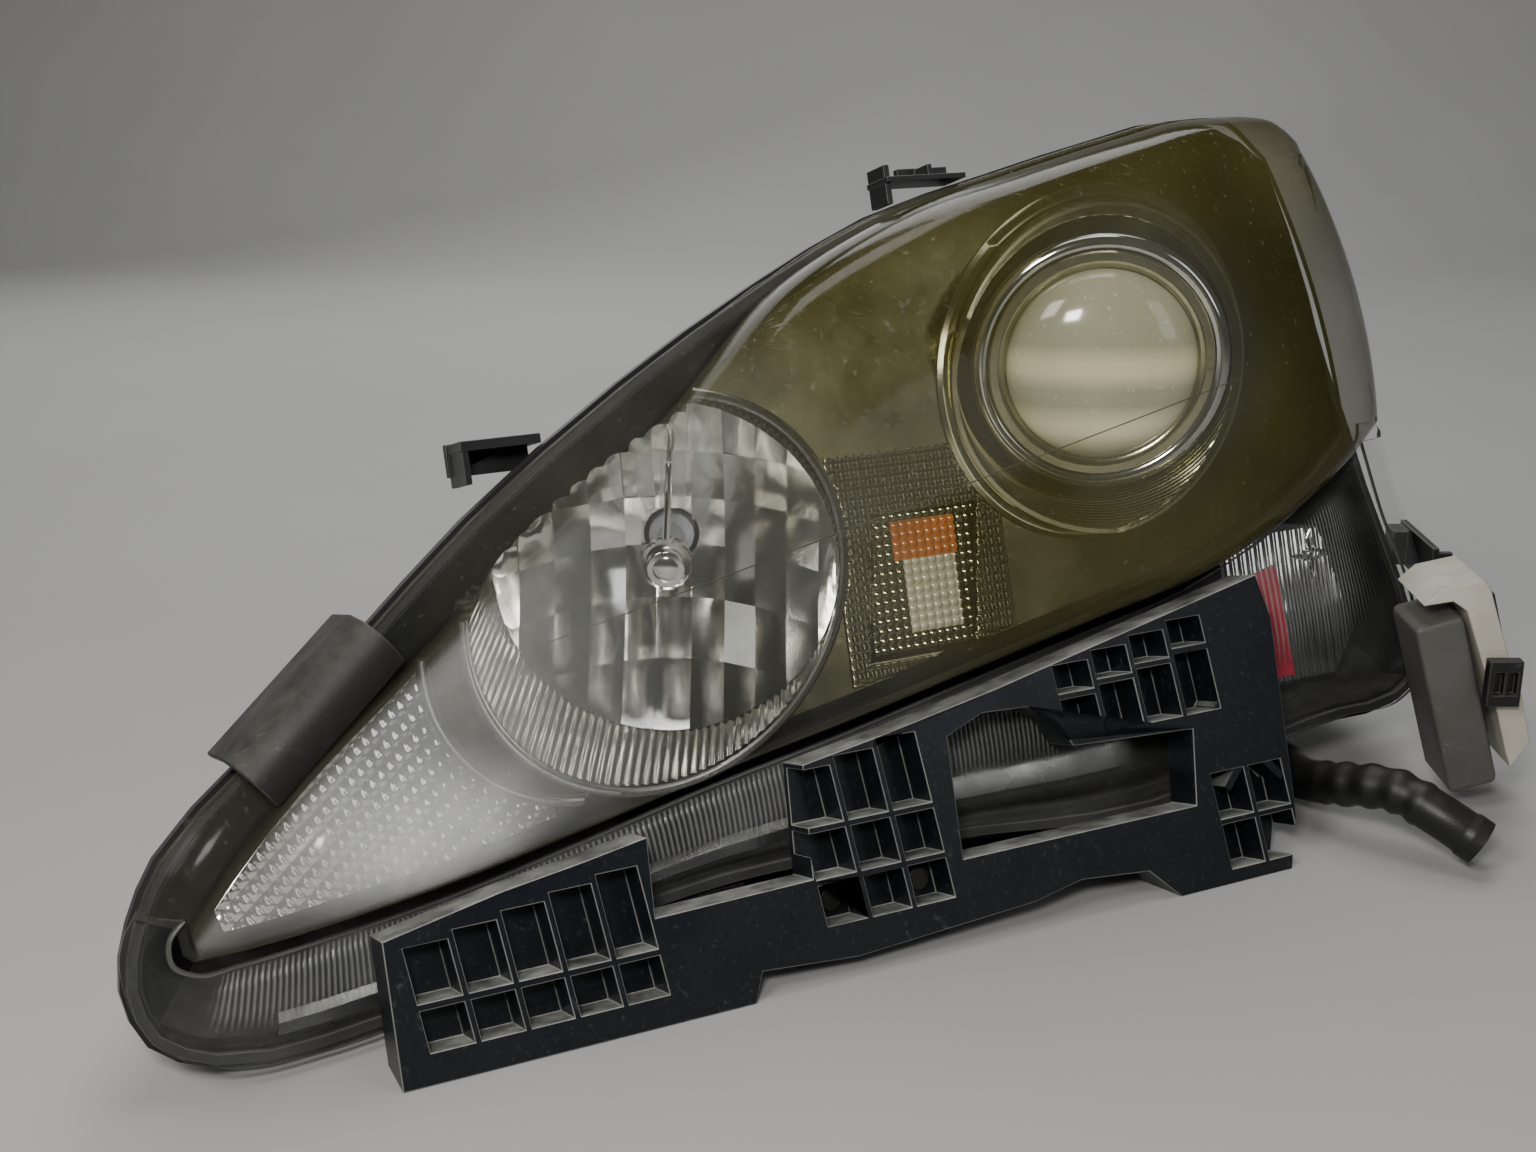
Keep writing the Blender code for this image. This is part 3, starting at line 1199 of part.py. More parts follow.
def add_connector(stand, lever, mats):
    """Harness connector on the outboard side with its swinging lever."""
    bm = bmesh.new()
    box(bm, (-0.0105, -0.0170, -0.0390), (0.0105, 0.0170, 0.0390))
    body = place(from_bmesh("connector_body", bm), mats["grey"], stand, CONNECTOR,
                 (0.0, CONNECTOR_LEAN, 0.0))
    bevel = body.modifiers.new("round", "BEVEL")
    bevel.width = 3.0 * MM
    bevel.segments = 2
    shape = in_metres(((-47, 66), (-40, 73), (-23, 77), (-20, 73), (-11, 48), (-2, 27), (4, 6),
                       (-3, -6), (-6, 2), (-11, 18), (-20, 41), (-29, 64), (-35, 68)))
    arm = outline_solid("connector_lever", [shape], -0.0180, 0.0180, lever, mats["ivory"])
    arm.rotation_euler = (math.radians(90.0), 0.0, 0.0)
    arm.location = (0.0, 0.0, 0.0)
    bm = bmesh.new()
    box(bm, (-0.0050, -0.0240, 0.0240), (0.0090, -0.0183, 0.0440))
    latch = place(from_bmesh("connector_latch", bm), mats["dark"], lever, (-0.0140, 0, 0))
    bm = bmesh.new()
    for low in (-0.0025, 0.0030):
        box(bm, (low, -0.030, 0.0290), (low + 0.0040, -0.0205, 0.0390))
    cut(latch, place(from_bmesh("latch_windows", bm, cutter=True), None, lever, (-0.0140, 0, 0)))
    bm = bmesh.new()
    box(bm, (0.0020, 0.0186, -0.0330), (0.0340, 0.0350, 0.0300))
    carrier = place(from_bmesh("connector_carrier", bm), mats["dark"], stand, CONNECTOR,
                    (0.0, CONNECTOR_LEAN, 0.0))
    bm = bmesh.new()
    for i in range(3):
        x = 0.0040 + i * 0.0102
        box(bm, (x, 0.0290, -0.0290), (x + 0.0078, 0.0440, 0.0260))
    cut(carrier, place(from_bmesh("carrier_pockets", bm, cutter=True), None, stand, CONNECTOR,
                       (0.0, CONNECTOR_LEAN, 0.0)))
    bm = bmesh.new()
    box(bm, (0.0030, 0.0173, -0.0325), (0.0095, 0.0200, -0.0240))
    cut(carrier, place(from_bmesh("carrier_boss", bm, cutter=True), None, stand, CONNECTOR,
                       (0.0, CONNECTOR_LEAN, 0.0)), "UNION")


def add_boot(stand, mats):
    """Rubber elbow on the vent spigot below the outboard end."""
    route = [Vector(p) for p in (
        (0.2230, 0.2360, 0.0150), (0.2290, 0.2120, 0.0160), (0.2400, 0.1920, 0.0225),
        (0.2560, 0.1760, 0.0265), (0.2705, 0.1640, 0.0210), (0.2850, 0.1570, 0.0125),
    )]
    points = [glide(route, i / 3) for i in range(3 * (len(route) - 1) + 1)]
    tube("rubber_boot", points, 0.0098, stand, mats["rubber"])
    bm = bmesh.new()
    rod(bm, (0.2230, 0.2386, 0.0150), (0.2230, 0.2640, 0.0150), 0.0080, sides=16)
    spigot = place(from_bmesh("vent_spigot", bm), mats["dark"], stand)
    bm = bmesh.new()
    rod(bm, (0.2230, 0.2480, 0.0150), (0.2230, 0.2480, 0.0303), 0.0055, sides=16)
    cut(spigot, place(from_bmesh("vent_stem", bm, cutter=True), None, stand), "UNION")


# ---------------------------------------------------------------- assembly

def lens_axes():
    """Columns u, v and w of the lens frame."""
    turn = Matrix.Rotation(SWEEP, 3, "Z") @ Matrix.Rotation(math.radians(90.0) - LEAN, 3, "X")
    return turn


def make_materials():
    return {
        "lens": material("aged_polycarbonate", (0.42, 0.40, 0.24), 0.18),
        "clear": material("clear_polycarbonate", (0.62, 0.64, 0.62), 0.15),
        "sealant": material("black_sealant", (0.02, 0.02, 0.02), 0.6),
        "housing": material("housing_plastic", (0.025, 0.026, 0.028), 0.55),
        "bezel": material("dark_bezel", (0.22, 0.22, 0.18), 0.25, 0.7),
        "chrome": material("bright_reflector", (0.80, 0.80, 0.76), 0.08, 1.0),
        "cast": material("cast_aluminium", (0.55, 0.56, 0.57), 0.4, 1.0),
        "steel": material("steel_pins", (0.50, 0.50, 0.50), 0.35, 1.0),
        "dark": material("black_plastic", (0.020, 0.021, 0.024), 0.45),
        "bracket": material("bracket_plastic", (0.020, 0.026, 0.040), 0.5),
        "rubber": material("black_rubber", (0.015, 0.015, 0.015), 0.75),
        "glass": material("bulb_glass", (0.75, 0.78, 0.80), 0.05),
        "lens_glass": material("projector_glass", (0.80, 0.78, 0.62), 0.06),
        "optic": material("pixel_optic", (0.75, 0.72, 0.55), 0.15),
        "amber": material("amber_glass", (0.80, 0.28, 0.03), 0.15),
        "red": material("red_reflector", (0.55, 0.02, 0.04), 0.2),
        "white": material("white_nylon", (0.75, 0.74, 0.68), 0.45),
        "grey": material("grey_nylon", (0.28, 0.28, 0.27), 0.5),
        "ivory": material("ivory_nylon", (0.62, 0.58, 0.48), 0.5),
        "scuffed": material("scuffed_plastic", (0.09, 0.085, 0.075), 0.65),
    }


def build():
    stand = empty("stand", (-PLAN_CENTRE[0], -PLAN_CENTRE[1], 0.0))
    lens_frame = empty("lens_frame", LENS_ORIGIN, (math.radians(90.0) - LEAN, 0.0, SWEEP), stand)
    mats = make_materials()
    tilt = empty("tilt_axis", (LOW.x, PAN_Y, TILT_Z), parent=stand)
    pan = empty("pan_axis", (LOW.x, PAN_Y, LOW.z), parent=stand)
    low_cap = empty("low_cover_axis", (LOW.x, LOW_COLLAR_END + 0.0036, LOW.z), parent=stand)
    high_cap = empty("high_cover_axis", (HIGH.x, HIGH_COLLAR_END + 0.0036, HIGH.z), parent=stand)
    turn_axis = empty("turn_socket_axis", (TURN.x, rear_y(TURN.x), TURN.z), parent=stand)
    marker_axis = empty("marker_socket_axis", (MARKER.x, rear_y(MARKER.x), MARKER.z), parent=stand)
    rod_axis = empty("levelling_axis", MOTOR, parent=stand)
    screw_v = empty("vertical_screw_axis", ADJUST_V, parent=stand)
    screw_h = empty("horizontal_screw_axis", ADJUST_H, parent=stand)
    lever = empty("lever_axis", LEVER_PIVOT, parent=stand)

    add_outer_lens(lens_frame, mats["lens"])
    add_lower_lens(lens_frame, mats["clear"])
    add_sealant(lens_frame, mats["sealant"])
    add_housing(stand, lens_frame, mats["housing"])
    prism = add_interior_prism(lens_frame)
    add_bezel(lens_frame, stand, mats)
    add_high_beam(stand, prism, mats)
    add_low_beam(pan, stand, lens_frame, mats)
    add_aiming(tilt, stand, mats)
    add_turn_signal(stand, turn_axis, lens_frame, prism, mats)
    add_marker(lens_frame, marker_axis, mats)
    add_trim_rail(lens_frame, mats["chrome"])
    add_covers(low_cap, high_cap, stand, mats)
    add_levelling(rod_axis, stand, mats)
    add_adjusters(screw_v, screw_h, mats)
    add_ballast(stand, mats)
    add_bumper_bracket(lens_frame, stand, mats)
    add_inner_bracket(lens_frame, mats["scuffed"])
    add_fittings(lens_frame, stand, mats)
    add_connector(stand, lever, mats)
    add_boot(stand, mats)


clear_scene()
PARTS = new_collection("headlight_assembly")
CUTTERS = new_collection("cutters")
LENS_AXES = lens_axes()
build()
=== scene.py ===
"""Looks of a car headlight assembly that stands on its bracket, lens to -Y, outboard end to +X."""

import json
import math
import random

import bmesh
import bpy
from mathutils import Matrix, Vector

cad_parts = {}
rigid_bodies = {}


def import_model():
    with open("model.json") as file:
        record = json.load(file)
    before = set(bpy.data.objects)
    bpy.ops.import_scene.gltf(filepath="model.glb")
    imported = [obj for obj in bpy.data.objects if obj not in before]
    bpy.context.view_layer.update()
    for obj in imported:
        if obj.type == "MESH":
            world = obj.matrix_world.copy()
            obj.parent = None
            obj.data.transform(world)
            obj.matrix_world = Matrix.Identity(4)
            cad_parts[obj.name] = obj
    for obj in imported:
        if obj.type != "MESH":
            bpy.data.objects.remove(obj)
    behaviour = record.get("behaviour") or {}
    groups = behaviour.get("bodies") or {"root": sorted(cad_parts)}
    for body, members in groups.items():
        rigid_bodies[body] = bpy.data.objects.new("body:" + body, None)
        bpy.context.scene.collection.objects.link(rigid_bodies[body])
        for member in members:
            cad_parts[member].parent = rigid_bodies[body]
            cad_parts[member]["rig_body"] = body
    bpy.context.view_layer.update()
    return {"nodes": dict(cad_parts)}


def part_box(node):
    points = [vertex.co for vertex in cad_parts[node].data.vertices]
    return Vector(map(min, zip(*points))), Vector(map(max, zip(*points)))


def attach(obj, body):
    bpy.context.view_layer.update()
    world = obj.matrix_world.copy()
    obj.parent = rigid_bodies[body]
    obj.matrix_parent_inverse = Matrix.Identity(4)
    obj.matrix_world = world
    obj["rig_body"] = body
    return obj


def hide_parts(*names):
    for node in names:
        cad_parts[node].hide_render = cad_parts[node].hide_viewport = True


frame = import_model()

MM = 0.001

# ---------------------------------------------------------------- places

RING_LOW, RING_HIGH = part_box("projector_ring")
LOW = Vector(((RING_LOW.x + RING_HIGH.x) / 2, RING_LOW.y - 0.0025, (RING_LOW.z + RING_HIGH.z) / 2))
ORIGIN = LOW + Vector((-0.1024, -0.0711, -0.0658))
SWEEP = math.radians(26.0)
LEAN = math.radians(18.0)
AXES = Matrix.Rotation(SWEEP, 3, "Z") @ Matrix.Rotation(math.radians(90.0) - LEAN, 3, "X")
U_AXIS, V_AXIS, W_AXIS = (AXES.col[i].copy() for i in range(3))
HIGH = LOW + Vector((-0.1704, -0.0190, -0.0628))
SIDE_BOWL = LOW + Vector((-0.1924, -0.0420, -0.0708))
HIGH_FOCUS = 22.0 * MM
HIGH_RADIUS = 65.0 * MM
SIDE_BOWL_RADIUS = 56.0 * MM
SHROUD_RADIUS = 60.0 * MM
LENS_RADIUS = 38.0 * MM

# ---------------------------------------------------------------- lens outline, in mm

LENS_WALL = 2.2 * MM
EDGE_RISE = 16.0 * MM
EDGE_ROUND = 12.0 * MM
CROWN = 18.0 * MM
STEP_DOWN = 14.5 * MM
FLANGE = 3.0 * MM
OUTBOARD_CURVE = 0.5
OUTBOARD_START = 0.100
TIP_LIFT = 10.0 * MM
SIDE_LENS_RISE = 6.0 * MM
BEZEL_W = -9.5 * MM
PILLOW_PITCH = 3.6 * MM
PILLOW_HEIGHT = 1.2 * MM

LENS_RUNGS = (
    ((-249, -86), (-250, -77), 0),
    ((-234, -86), (-240, -65), 0),
    ((-203, -84), (-214, -40), 0),
    ((-165, -80), (-169, -7), 0),
    ((-115, -71), (-122, 28), 0),
    ((-60, -60), (-62, 68), 0),
    ((-8, -51), (-12, 110), 0),
    ((50, -40), (38, 133), 0),
    ((108, -29), (95, 147), 0),
    ((160, -19), (150, 159), 0),
    ((205, -3), (188, 166), 2),
    ((238, 13), (216, 166), 4),
    ((265, 31), (237, 150), 7),
)
SKIRT_EDGE = ((-265, -72), (-255, -56), (-225, -31), (-183, 1), (-136, 39), (-72, 81), (-15, 113))
APRON = (
    ((-255, -81), (-270, -79)),
    ((-255, -88), (-271, -95)),
    ((-249, -92), (-265, -112)),
    ((-236, -92), (-245, -125)),
    ((-205, -90), (-210, -128)),
    ((-165, -86), (-160, -122)),
    ((-115, -77), (-110, -110)),
    ((-60, -66), (-60, -104)),
    ((-8, -57), (-8, -104)),
    ((50, -46), (50, -107)),
    ((108, -35), (105, -112)),
    ((160, -25), (161, -110)),
    ((207, -9), (208, -96)),
    ((238, 6), (246, -93)),
    ((252, 14), (283, -92)),
    ((262, 19), (299, -84)),
    ((268, 23), (301, -52)),
    ((272, 28), (286, -5)),
    ((273, 33), (279, 24)),
)


# ---------------------------------------------------------------- geometry helpers

def in_metres(points):
    return [Vector(point) * MM for point in points]


def ease(x):
    x = min(max(x, 0.0), 1.0)
    return x * x * (3.0 - 2.0 * x)


def glide(points, t):
    """Point at index position t of a smooth curve through the points."""
    last = len(points) - 1
    at = min(max(int(t), 0), last - 1)
    part = t - at
    here = points[at]
    there = points[at + 1]
    before = points[at - 1] if at > 0 else here * 2 - there
    after = points[at + 2] if at + 2 <= last else there * 2 - here
    step = (there - here).length
    step_in = (here - before).length
    step_out = (after - there).length
    slope_in = ((here - before) / step_in * step + (there - here) / step * step_in)
    slope_in *= step / (step + step_in)
    slope_out = ((there - here) / step * step_out + (after - there) / step_out * step)
    slope_out *= step / (step + step_out)
    square = part * part
    cube = square * part
    return (
        here * (2 * cube - 3 * square + 1)
        + slope_in * (cube - 2 * square + part)
        + there * (3 * square - 2 * cube)
        + slope_out * (cube - square)
    )


def edge_height(u):
    """w of the foot of the lens."""
    outboard = max(0.0, u - OUTBOARD_START)
    tip = ease((-0.150 - u) / 0.100)
    return TIP_LIFT * tip - OUTBOARD_CURVE * outboard * outboard


def at_lens(u, v, w):
    return ORIGIN + AXES @ Vector((u, v, w))


def to_lens(point):
    return AXES.transposed() @ (Vector(point) - ORIGIN)


def front_y(x, z, w):
    """y at which the line along Y through (x, z) meets the plane of that w."""
    lead = (x - ORIGIN.x) * W_AXIS.x + (z - ORIGIN.z) * W_AXIS.z
    return ORIGIN.y + (w - lead) / W_AXIS.y


def skin(bm, rows, closed=False, flip=False):
    faces = []
    for first, second in zip(rows, rows[1:]):
        count = len(first)
        for i in range(count if closed else count - 1):
            j = (i + 1) % count
            ring = [first[i], second[i], second[j], first[j]]
            if flip:
                ring.reverse()
            faces.append(bm.faces.new(ring))
    return faces


def strip(bm, first, second):
    """Faces between two open rows, facing the other way from skin()."""
    for i in range(len(first) - 1):
        bm.faces.new((first[i], first[i + 1], second[i + 1], second[i]))


def sift(bm, faces, choose):
    """Give each face the material that choose(centre) names, and delete those where it names none."""
    doomed = []
    for face in faces:
        index = choose(face.calc_center_median())
        if index is None:
            doomed.append(face)
        else:
            face.material_index = index
    bmesh.ops.delete(bm, geom=doomed, context="FACES")


def off_axis(point, centre):
    """Distance from an axis along Y."""
    return Vector((point.x - centre.x, point.z - centre.z)).length


def lens_rung(t, shares):
    lower = glide(in_metres([rung[0] for rung in LENS_RUNGS]), t)
    upper = glide(in_metres([rung[1] for rung in LENS_RUNGS]), t)
    at = min(int(t), len(LENS_RUNGS) - 2)
    bow = LENS_RUNGS[at][2] + (LENS_RUNGS[at + 1][2] - LENS_RUNGS[at][2]) * (t - at)
    bow *= MM
    return [lower.lerp(upper, s) + Vector((bow * 4.0 * s * (1.0 - s), 0.0)) for s in shares]


def inset(loop, distance):
    moved = []
    count = len(loop)
    for i, point in enumerate(loop):
        along = (loop[(i + 1) % count] - loop[i - 1]).normalized()
        moved.append(point + Vector((-along.y, along.x)) * distance)
    return moved


def foot_loop(distance):
    last = len(LENS_RUNGS) - 1
    steps = [i / 2 for i in range(2 * last + 1)]
    lower = [lens_rung(t, [0.0])[0] for t in steps]
    upper = [lens_rung(t, [1.0])[0] for t in reversed(steps)]
    side = lens_rung(last, [0.2, 0.4, 0.6, 0.8])
    return inset(lower + side + upper, distance)


def bowl_area():
    """Where the bowls show: inside the upper edge of the lens, open towards its lower edge."""
    loop = foot_loop(0.0040)
    lower = 2 * (len(LENS_RUNGS) - 1) + 1
    return [p - Vector((0.0, 0.015)) if i < lower else p for i, p in enumerate(loop)]


def inside(loop, u, v):
    """Whether a flat point lies inside a closed loop."""
    hit = False
    for a, b in zip(loop, loop[1:] + loop[:1]):
        if (a.y > v) != (b.y > v) and u < a.x + (b.x - a.x) * (v - a.y) / (b.y - a.y):
            hit = not hit
    return hit


def on_bezel(x, z):
    """Lens coordinates of the place where the line along Y through (x, z) meets the bezel."""
    return to_lens((x, front_y(x, z, BEZEL_W), z))


def tucked(bm, area):
    """Move what stands outside an area, seen along world y, onto the area's edge."""
    for vert in bm.verts:
        flat = on_bezel(vert.co.x, vert.co.z)
        if inside(area, flat.x, flat.y):
            continue
        flat = Vector((flat.x, flat.y))
        best = None
        for a, b in zip(area, area[1:] + area[:1]):
            side = b - a
            share = min(max((flat - a).dot(side) / max(side.length_squared, 1e-12), 0.0), 1.0)
            spot = a + side * share
            if best is None or (spot - flat).length < (best - flat).length:
                best = spot
        spot = at_lens(best.x, best.y, BEZEL_W)
        vert.co.x = spot.x
        vert.co.z = spot.z


# ---------------------------------------------------------------- piece helpers

def mount(name, bm, body, mats, replaces=(), smooth=35.0):
    """Turn a bmesh into a piece that rides on a body."""
    mesh = bpy.data.meshes.new(name)
    bm.to_mesh(mesh)
    bm.free()
    if "custom_normal" in mesh.attributes:
        mesh.attributes.remove(mesh.attributes["custom_normal"])
    obj = bpy.data.objects.new(name, mesh)
    bpy.context.scene.collection.objects.link(obj)
    for mat in mats:
        mesh.materials.append(mat)
    mesh.shade_smooth()
    if smooth is not None:
        mesh.set_sharp_from_angle(angle=math.radians(smooth))
    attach(obj, body)
    if replaces:
        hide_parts(*replaces)
    return obj


def wall(obj, thickness, inner=0, rim=0):
    """Give a surface a thickness behind it; inner and rim are steps to those faces' materials."""
    step = obj.modifiers.new("wall", "SOLIDIFY")
    step.thickness = thickness
    step.offset = -1.0
    step.material_offset = inner
    step.material_offset_rim = rim


def paint_age_and_light(obj, colours):
    """Store three numbers at each vertex: how yellow (on flutes, the painted highlight towards their tops),
    how much darker towards the edges, and milky haze with a painted glare patch.
    """
    layer = obj.data.color_attributes.new("age", "FLOAT_COLOR", "POINT")
    for spot, colour in zip(layer.data, colours):
        spot.color = (*colour, 1.0)


def round_edges(obj, width, angle=35.0, mat=-1):
    step = obj.modifiers.new("round", "BEVEL")
    step.width = width
    step.segments = 2
    step.limit_method = "ANGLE"
    step.angle_limit = math.radians(angle)
    step.material = mat
    step.harden_normals = False
    step.use_clamp_overlap = True
    tidy = obj.modifiers.new("normals", "WEIGHTED_NORMAL")
    tidy.keep_sharp = True
    tidy.weight = 70


def refined(node, mats, width=0.5 * MM, angle=35.0, trim=None):
    """The CAD node with merged faces, rounded edges and a worn edge finish."""
    source = frame["nodes"][node]
    bm = bmesh.new()
    bm.from_mesh(source.data)
    bmesh.ops.remove_doubles(bm, verts=bm.verts, dist=2e-6)
    bmesh.ops.dissolve_limit(
        bm, angle_limit=math.radians(0.8), verts=bm.verts, edges=bm.edges, delimit={"NORMAL"},
    )
    if trim is not None:
        trim_front(bm, trim)
    for face in bm.faces:
        face.material_index = 0
    obj = mount(node + "_look", bm, source["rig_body"], mats, (node,), smooth=angle)
    if width:
        round_edges(obj, width, angle, 1 if len(mats) > 1 else -1)
    return obj


def trim_front(bm, w):
    """Take away what stands in front of a plane parallel to the lens, and close the cut."""
    found = bmesh.ops.bisect_plane(
        bm, geom=bm.verts[:] + bm.edges[:] + bm.faces[:], plane_co=at_lens(0.0, 0.0, w),
        plane_no=W_AXIS, clear_outer=True,
    )
    border = [part for part in found["geom_cut"] if isinstance(part, bmesh.types.BMEdge)]
    bmesh.ops.triangle_fill(bm, edges=border, use_beauty=True)


def profile_mm(points):
    return [(radius * MM, height * MM) for radius, height in points]


def lathe(name, profile, centre, body, mats, replaces=(), sides=96, closed=True, trim=None,
          smooth=35.0):
    """Turn a profile of (radius, distance towards -Y) round an axis along Y."""
    bm = bmesh.new()
    rows = []
    for k in range(sides):
        angle = 2.0 * math.pi * k / sides
        row = []
        for radius, height in profile:
            x = centre.x + radius * math.cos(angle)
            z = centre.z + radius * math.sin(angle)
            y = centre.y - height
            if trim is not None:
                y = max(y, front_y(x, z, trim))
            row.append(bm.verts.new((x, y, z)))
        if closed:
            row.append(row[0])
        rows.append(row)
    for first, second in zip(rows, rows[1:] + rows[:1]):
        strip(bm, first, second)
    bmesh.ops.remove_doubles(bm, verts=bm.verts, dist=2e-6)
    bmesh.ops.recalc_face_normals(bm, faces=bm.faces)
    return mount(name, bm, body, mats, replaces, smooth)


def pipe(bm, path, radius, sides):
    """Round tube along a path, added to a bmesh."""
    rows = []
    count = len(path)
    up = Vector((0.0, 0.0, 1.0))
    for i, point in enumerate(path):
        ahead = path[min(i + 1, count - 1)] - path[max(i - 1, 0)]
        ahead.normalize()
        side = ahead.cross(up)
        if side.length < 0.05:
            side = ahead.cross(Vector((0.0, 1.0, 0.0)))
        side.normalize()
        over = side.cross(ahead)
        wide = radius(i / (count - 1)) if callable(radius) else radius
        rows.append([
            bm.verts.new(point + side * wide * math.cos(a) + over * wide * math.sin(a))
            for a in (2.0 * math.pi * k / sides for k in range(sides))
        ])
    skin(bm, rows, closed=True)
    bm.faces.new(list(reversed(rows[0])))
    bm.faces.new(rows[-1])


# ---------------------------------------------------------------- materials

class Shade:
    """A material under construction: a node tree with short ways to add to it."""

    def __init__(self, name):
        self.mat = bpy.data.materials.new(name)
        self.mat.use_nodes = True
        self.tree = self.mat.node_tree
        self.out = self.tree.nodes["Principled BSDF"]
        self.place = self.node("ShaderNodeTexCoord").outputs["Object"]

    def node(self, kind, inputs=None, **settings):
        made = self.tree.nodes.new(kind)
        for key, value in settings.items():
            setattr(made, key, value)
        for key, value in (inputs or {}).items():
            self.feed(value, made.inputs[key])
        return made

    def feed(self, value, socket):
        if isinstance(value, bpy.types.NodeSocket):
            self.tree.links.new(value, socket)
        elif isinstance(value, tuple) and len(value) == 3 and socket.type == "RGBA":
            socket.default_value = (*value, 1.0)
        else:
            socket.default_value = value

    def noise(self, scale, detail=3.0, rough=0.55, stretch=None):
        place = self.place
        if stretch:
            turned = {"Vector": place, "Scale": stretch, "Rotation": (0.35, 0.5, 0.8)}
            place = self.node("ShaderNodeMapping", turned).outputs["Vector"]
        inputs = {"Vector": place, "Scale": scale, "Detail": detail, "Roughness": rough}
        return self.node("ShaderNodeTexNoise", inputs).outputs["Fac"]

    def spread(self, value, low, high, to_low=0.0, to_high=1.0):
        inputs = {"Value": value, "From Min": low, "From Max": high, "To Min": to_low, "To Max": to_high}
        return self.node("ShaderNodeMapRange", inputs, clamp=True).outputs["Result"]

    def math(self, operation, first, second=0.0):
        return self.node("ShaderNodeMath", {0: first, 1: second}, operation=operation).outputs[0]

    def times(self, first, second):
        return self.math("MULTIPLY", first, second)

    def plus(self, first, second):
        return self.math("ADD", first, second)

    def blend(self, factor, first, second):
        made = self.node("ShaderNodeMix", data_type="RGBA")
        for key, value in (("Factor", factor), ("A", first), ("B", second)):
            self.feed(value, made.inputs[key])
        return made.outputs["Result"]

    def upward(self, low=0.25, high=0.95):
        normal = self.node("ShaderNodeNewGeometry").outputs["Normal"]
        return self.spread(self.node("ShaderNodeSeparateXYZ", {0: normal}).outputs["Z"], low, high)

    def attribute(self, name):
        made = self.node("ShaderNodeAttribute", attribute_name=name)
        return self.node("ShaderNodeSeparateColor", {0: made.outputs["Color"]}).outputs

    def along(self, axis, origin):
        """Distance along an axis from an origin, in metres."""
        inputs = {0: self.place, 1: origin}
        moved = self.node("ShaderNodeVectorMath", inputs, operation="SUBTRACT").outputs[0]
        dot = self.node("ShaderNodeVectorMath", {0: moved, 1: axis}, operation="DOT_PRODUCT")
        return dot.outputs["Value"]

    def bump(self, height, strength, distance=0.0003):
        made = self.node("ShaderNodeBump", {"Strength": strength, "Distance": distance, "Height": height})
        self.feed(made.outputs["Normal"], self.out.inputs["Normal"])

    def set(self, **values):
        for key, value in values.items():
            self.feed(value, self.out.inputs[key.replace("_", " ")])
        return self.mat


DUST = (0.150, 0.140, 0.120)


def moulded(name, colour, deep, rough=0.5, dust=0.5, scuffs=0.35, scuff_colour=(0.19, 0.185, 0.17),
            grain=0.12, metallic=0.0, dust_colour=DUST):
    """Used plastic, rubber or metal: patchy tone, scuffs, fine grain and dust on top faces."""
    s = Shade(name)
    tone = s.spread(s.noise(22.0, 4.0), 0.32, 0.68)
    base = s.blend(tone, deep, colour)
    marks = s.spread(s.noise(5.0, 6.0, 0.7, stretch=(14.0, 90.0, 30.0)), 0.60, 0.72, 0.0, scuffs)
    patches = s.spread(s.noise(38.0, 3.0), 0.46, 0.66)
    marks = s.times(marks, patches)
    base = s.blend(marks, base, scuff_colour)
    speckle = s.spread(s.noise(520.0, 2.0), 0.60, 0.76, 0.0, 0.16 * dust)
    base = s.blend(speckle, base, DUST)
    film = s.spread(s.noise(60.0, 5.0, 0.65), 0.35, 0.70, 0.25, 1.0)
    lying = s.times(s.times(s.upward(0.35, 1.0), film), dust)
    base = s.blend(lying, base, dust_colour)
    shine = s.plus(s.spread(tone, 0.0, 1.0, rough + 0.10, rough - 0.06),
                   s.times(lying, 0.35))
    s.bump(s.noise(1400.0, 2.0), grain)
    return s.set(Base_Color=base, Roughness=shine, Metallic=metallic)


def pair(name, colour, deep, edge=0.35, **more):
    """Finish of the faces and, as a second material, of the rubbed edges."""
    dusty = more.get("dust_colour", DUST)
    lighter = tuple(c + (d - c) * edge for c, d in zip(colour, dusty))
    darker = tuple(c + (d - c) * edge * 0.45 for c, d in zip(deep, dusty))
    edged = dict(more, rough=min(more.get("rough", 0.5) + 0.08, 0.9))
    return [moulded(name, colour, deep, **more), moulded(name + "_edge", lighter, darker, **edged)]


def chromed(name, colour=(0.78, 0.78, 0.75), deep=(0.46, 0.45, 0.40), rough=0.06, haze=0.10,
            dust=0.12):
    """Metallised plastic with a hazy film, fine dust and water marks."""
    s = Shade(name)
    tone = s.spread(s.noise(26.0, 5.0, 0.6), 0.38, 0.70)
    base = s.blend(tone, colour, deep)
    spots = s.spread(s.noise(240.0, 3.0), 0.62, 0.74, 0.0, 0.35)
    base = s.blend(spots, base, (0.34, 0.32, 0.27))
    lying = s.times(s.upward(0.2, 1.0), dust)
    base = s.blend(lying, base, (0.42, 0.40, 0.35))
    shine = s.plus(s.spread(tone, 0.0, 1.0, rough, rough + haze),
                   s.times(lying, 0.5))
    s.bump(s.noise(35.0, 2.0), 0.02)
    return s.set(Base_Color=base, Roughness=shine, Metallic=1.0)


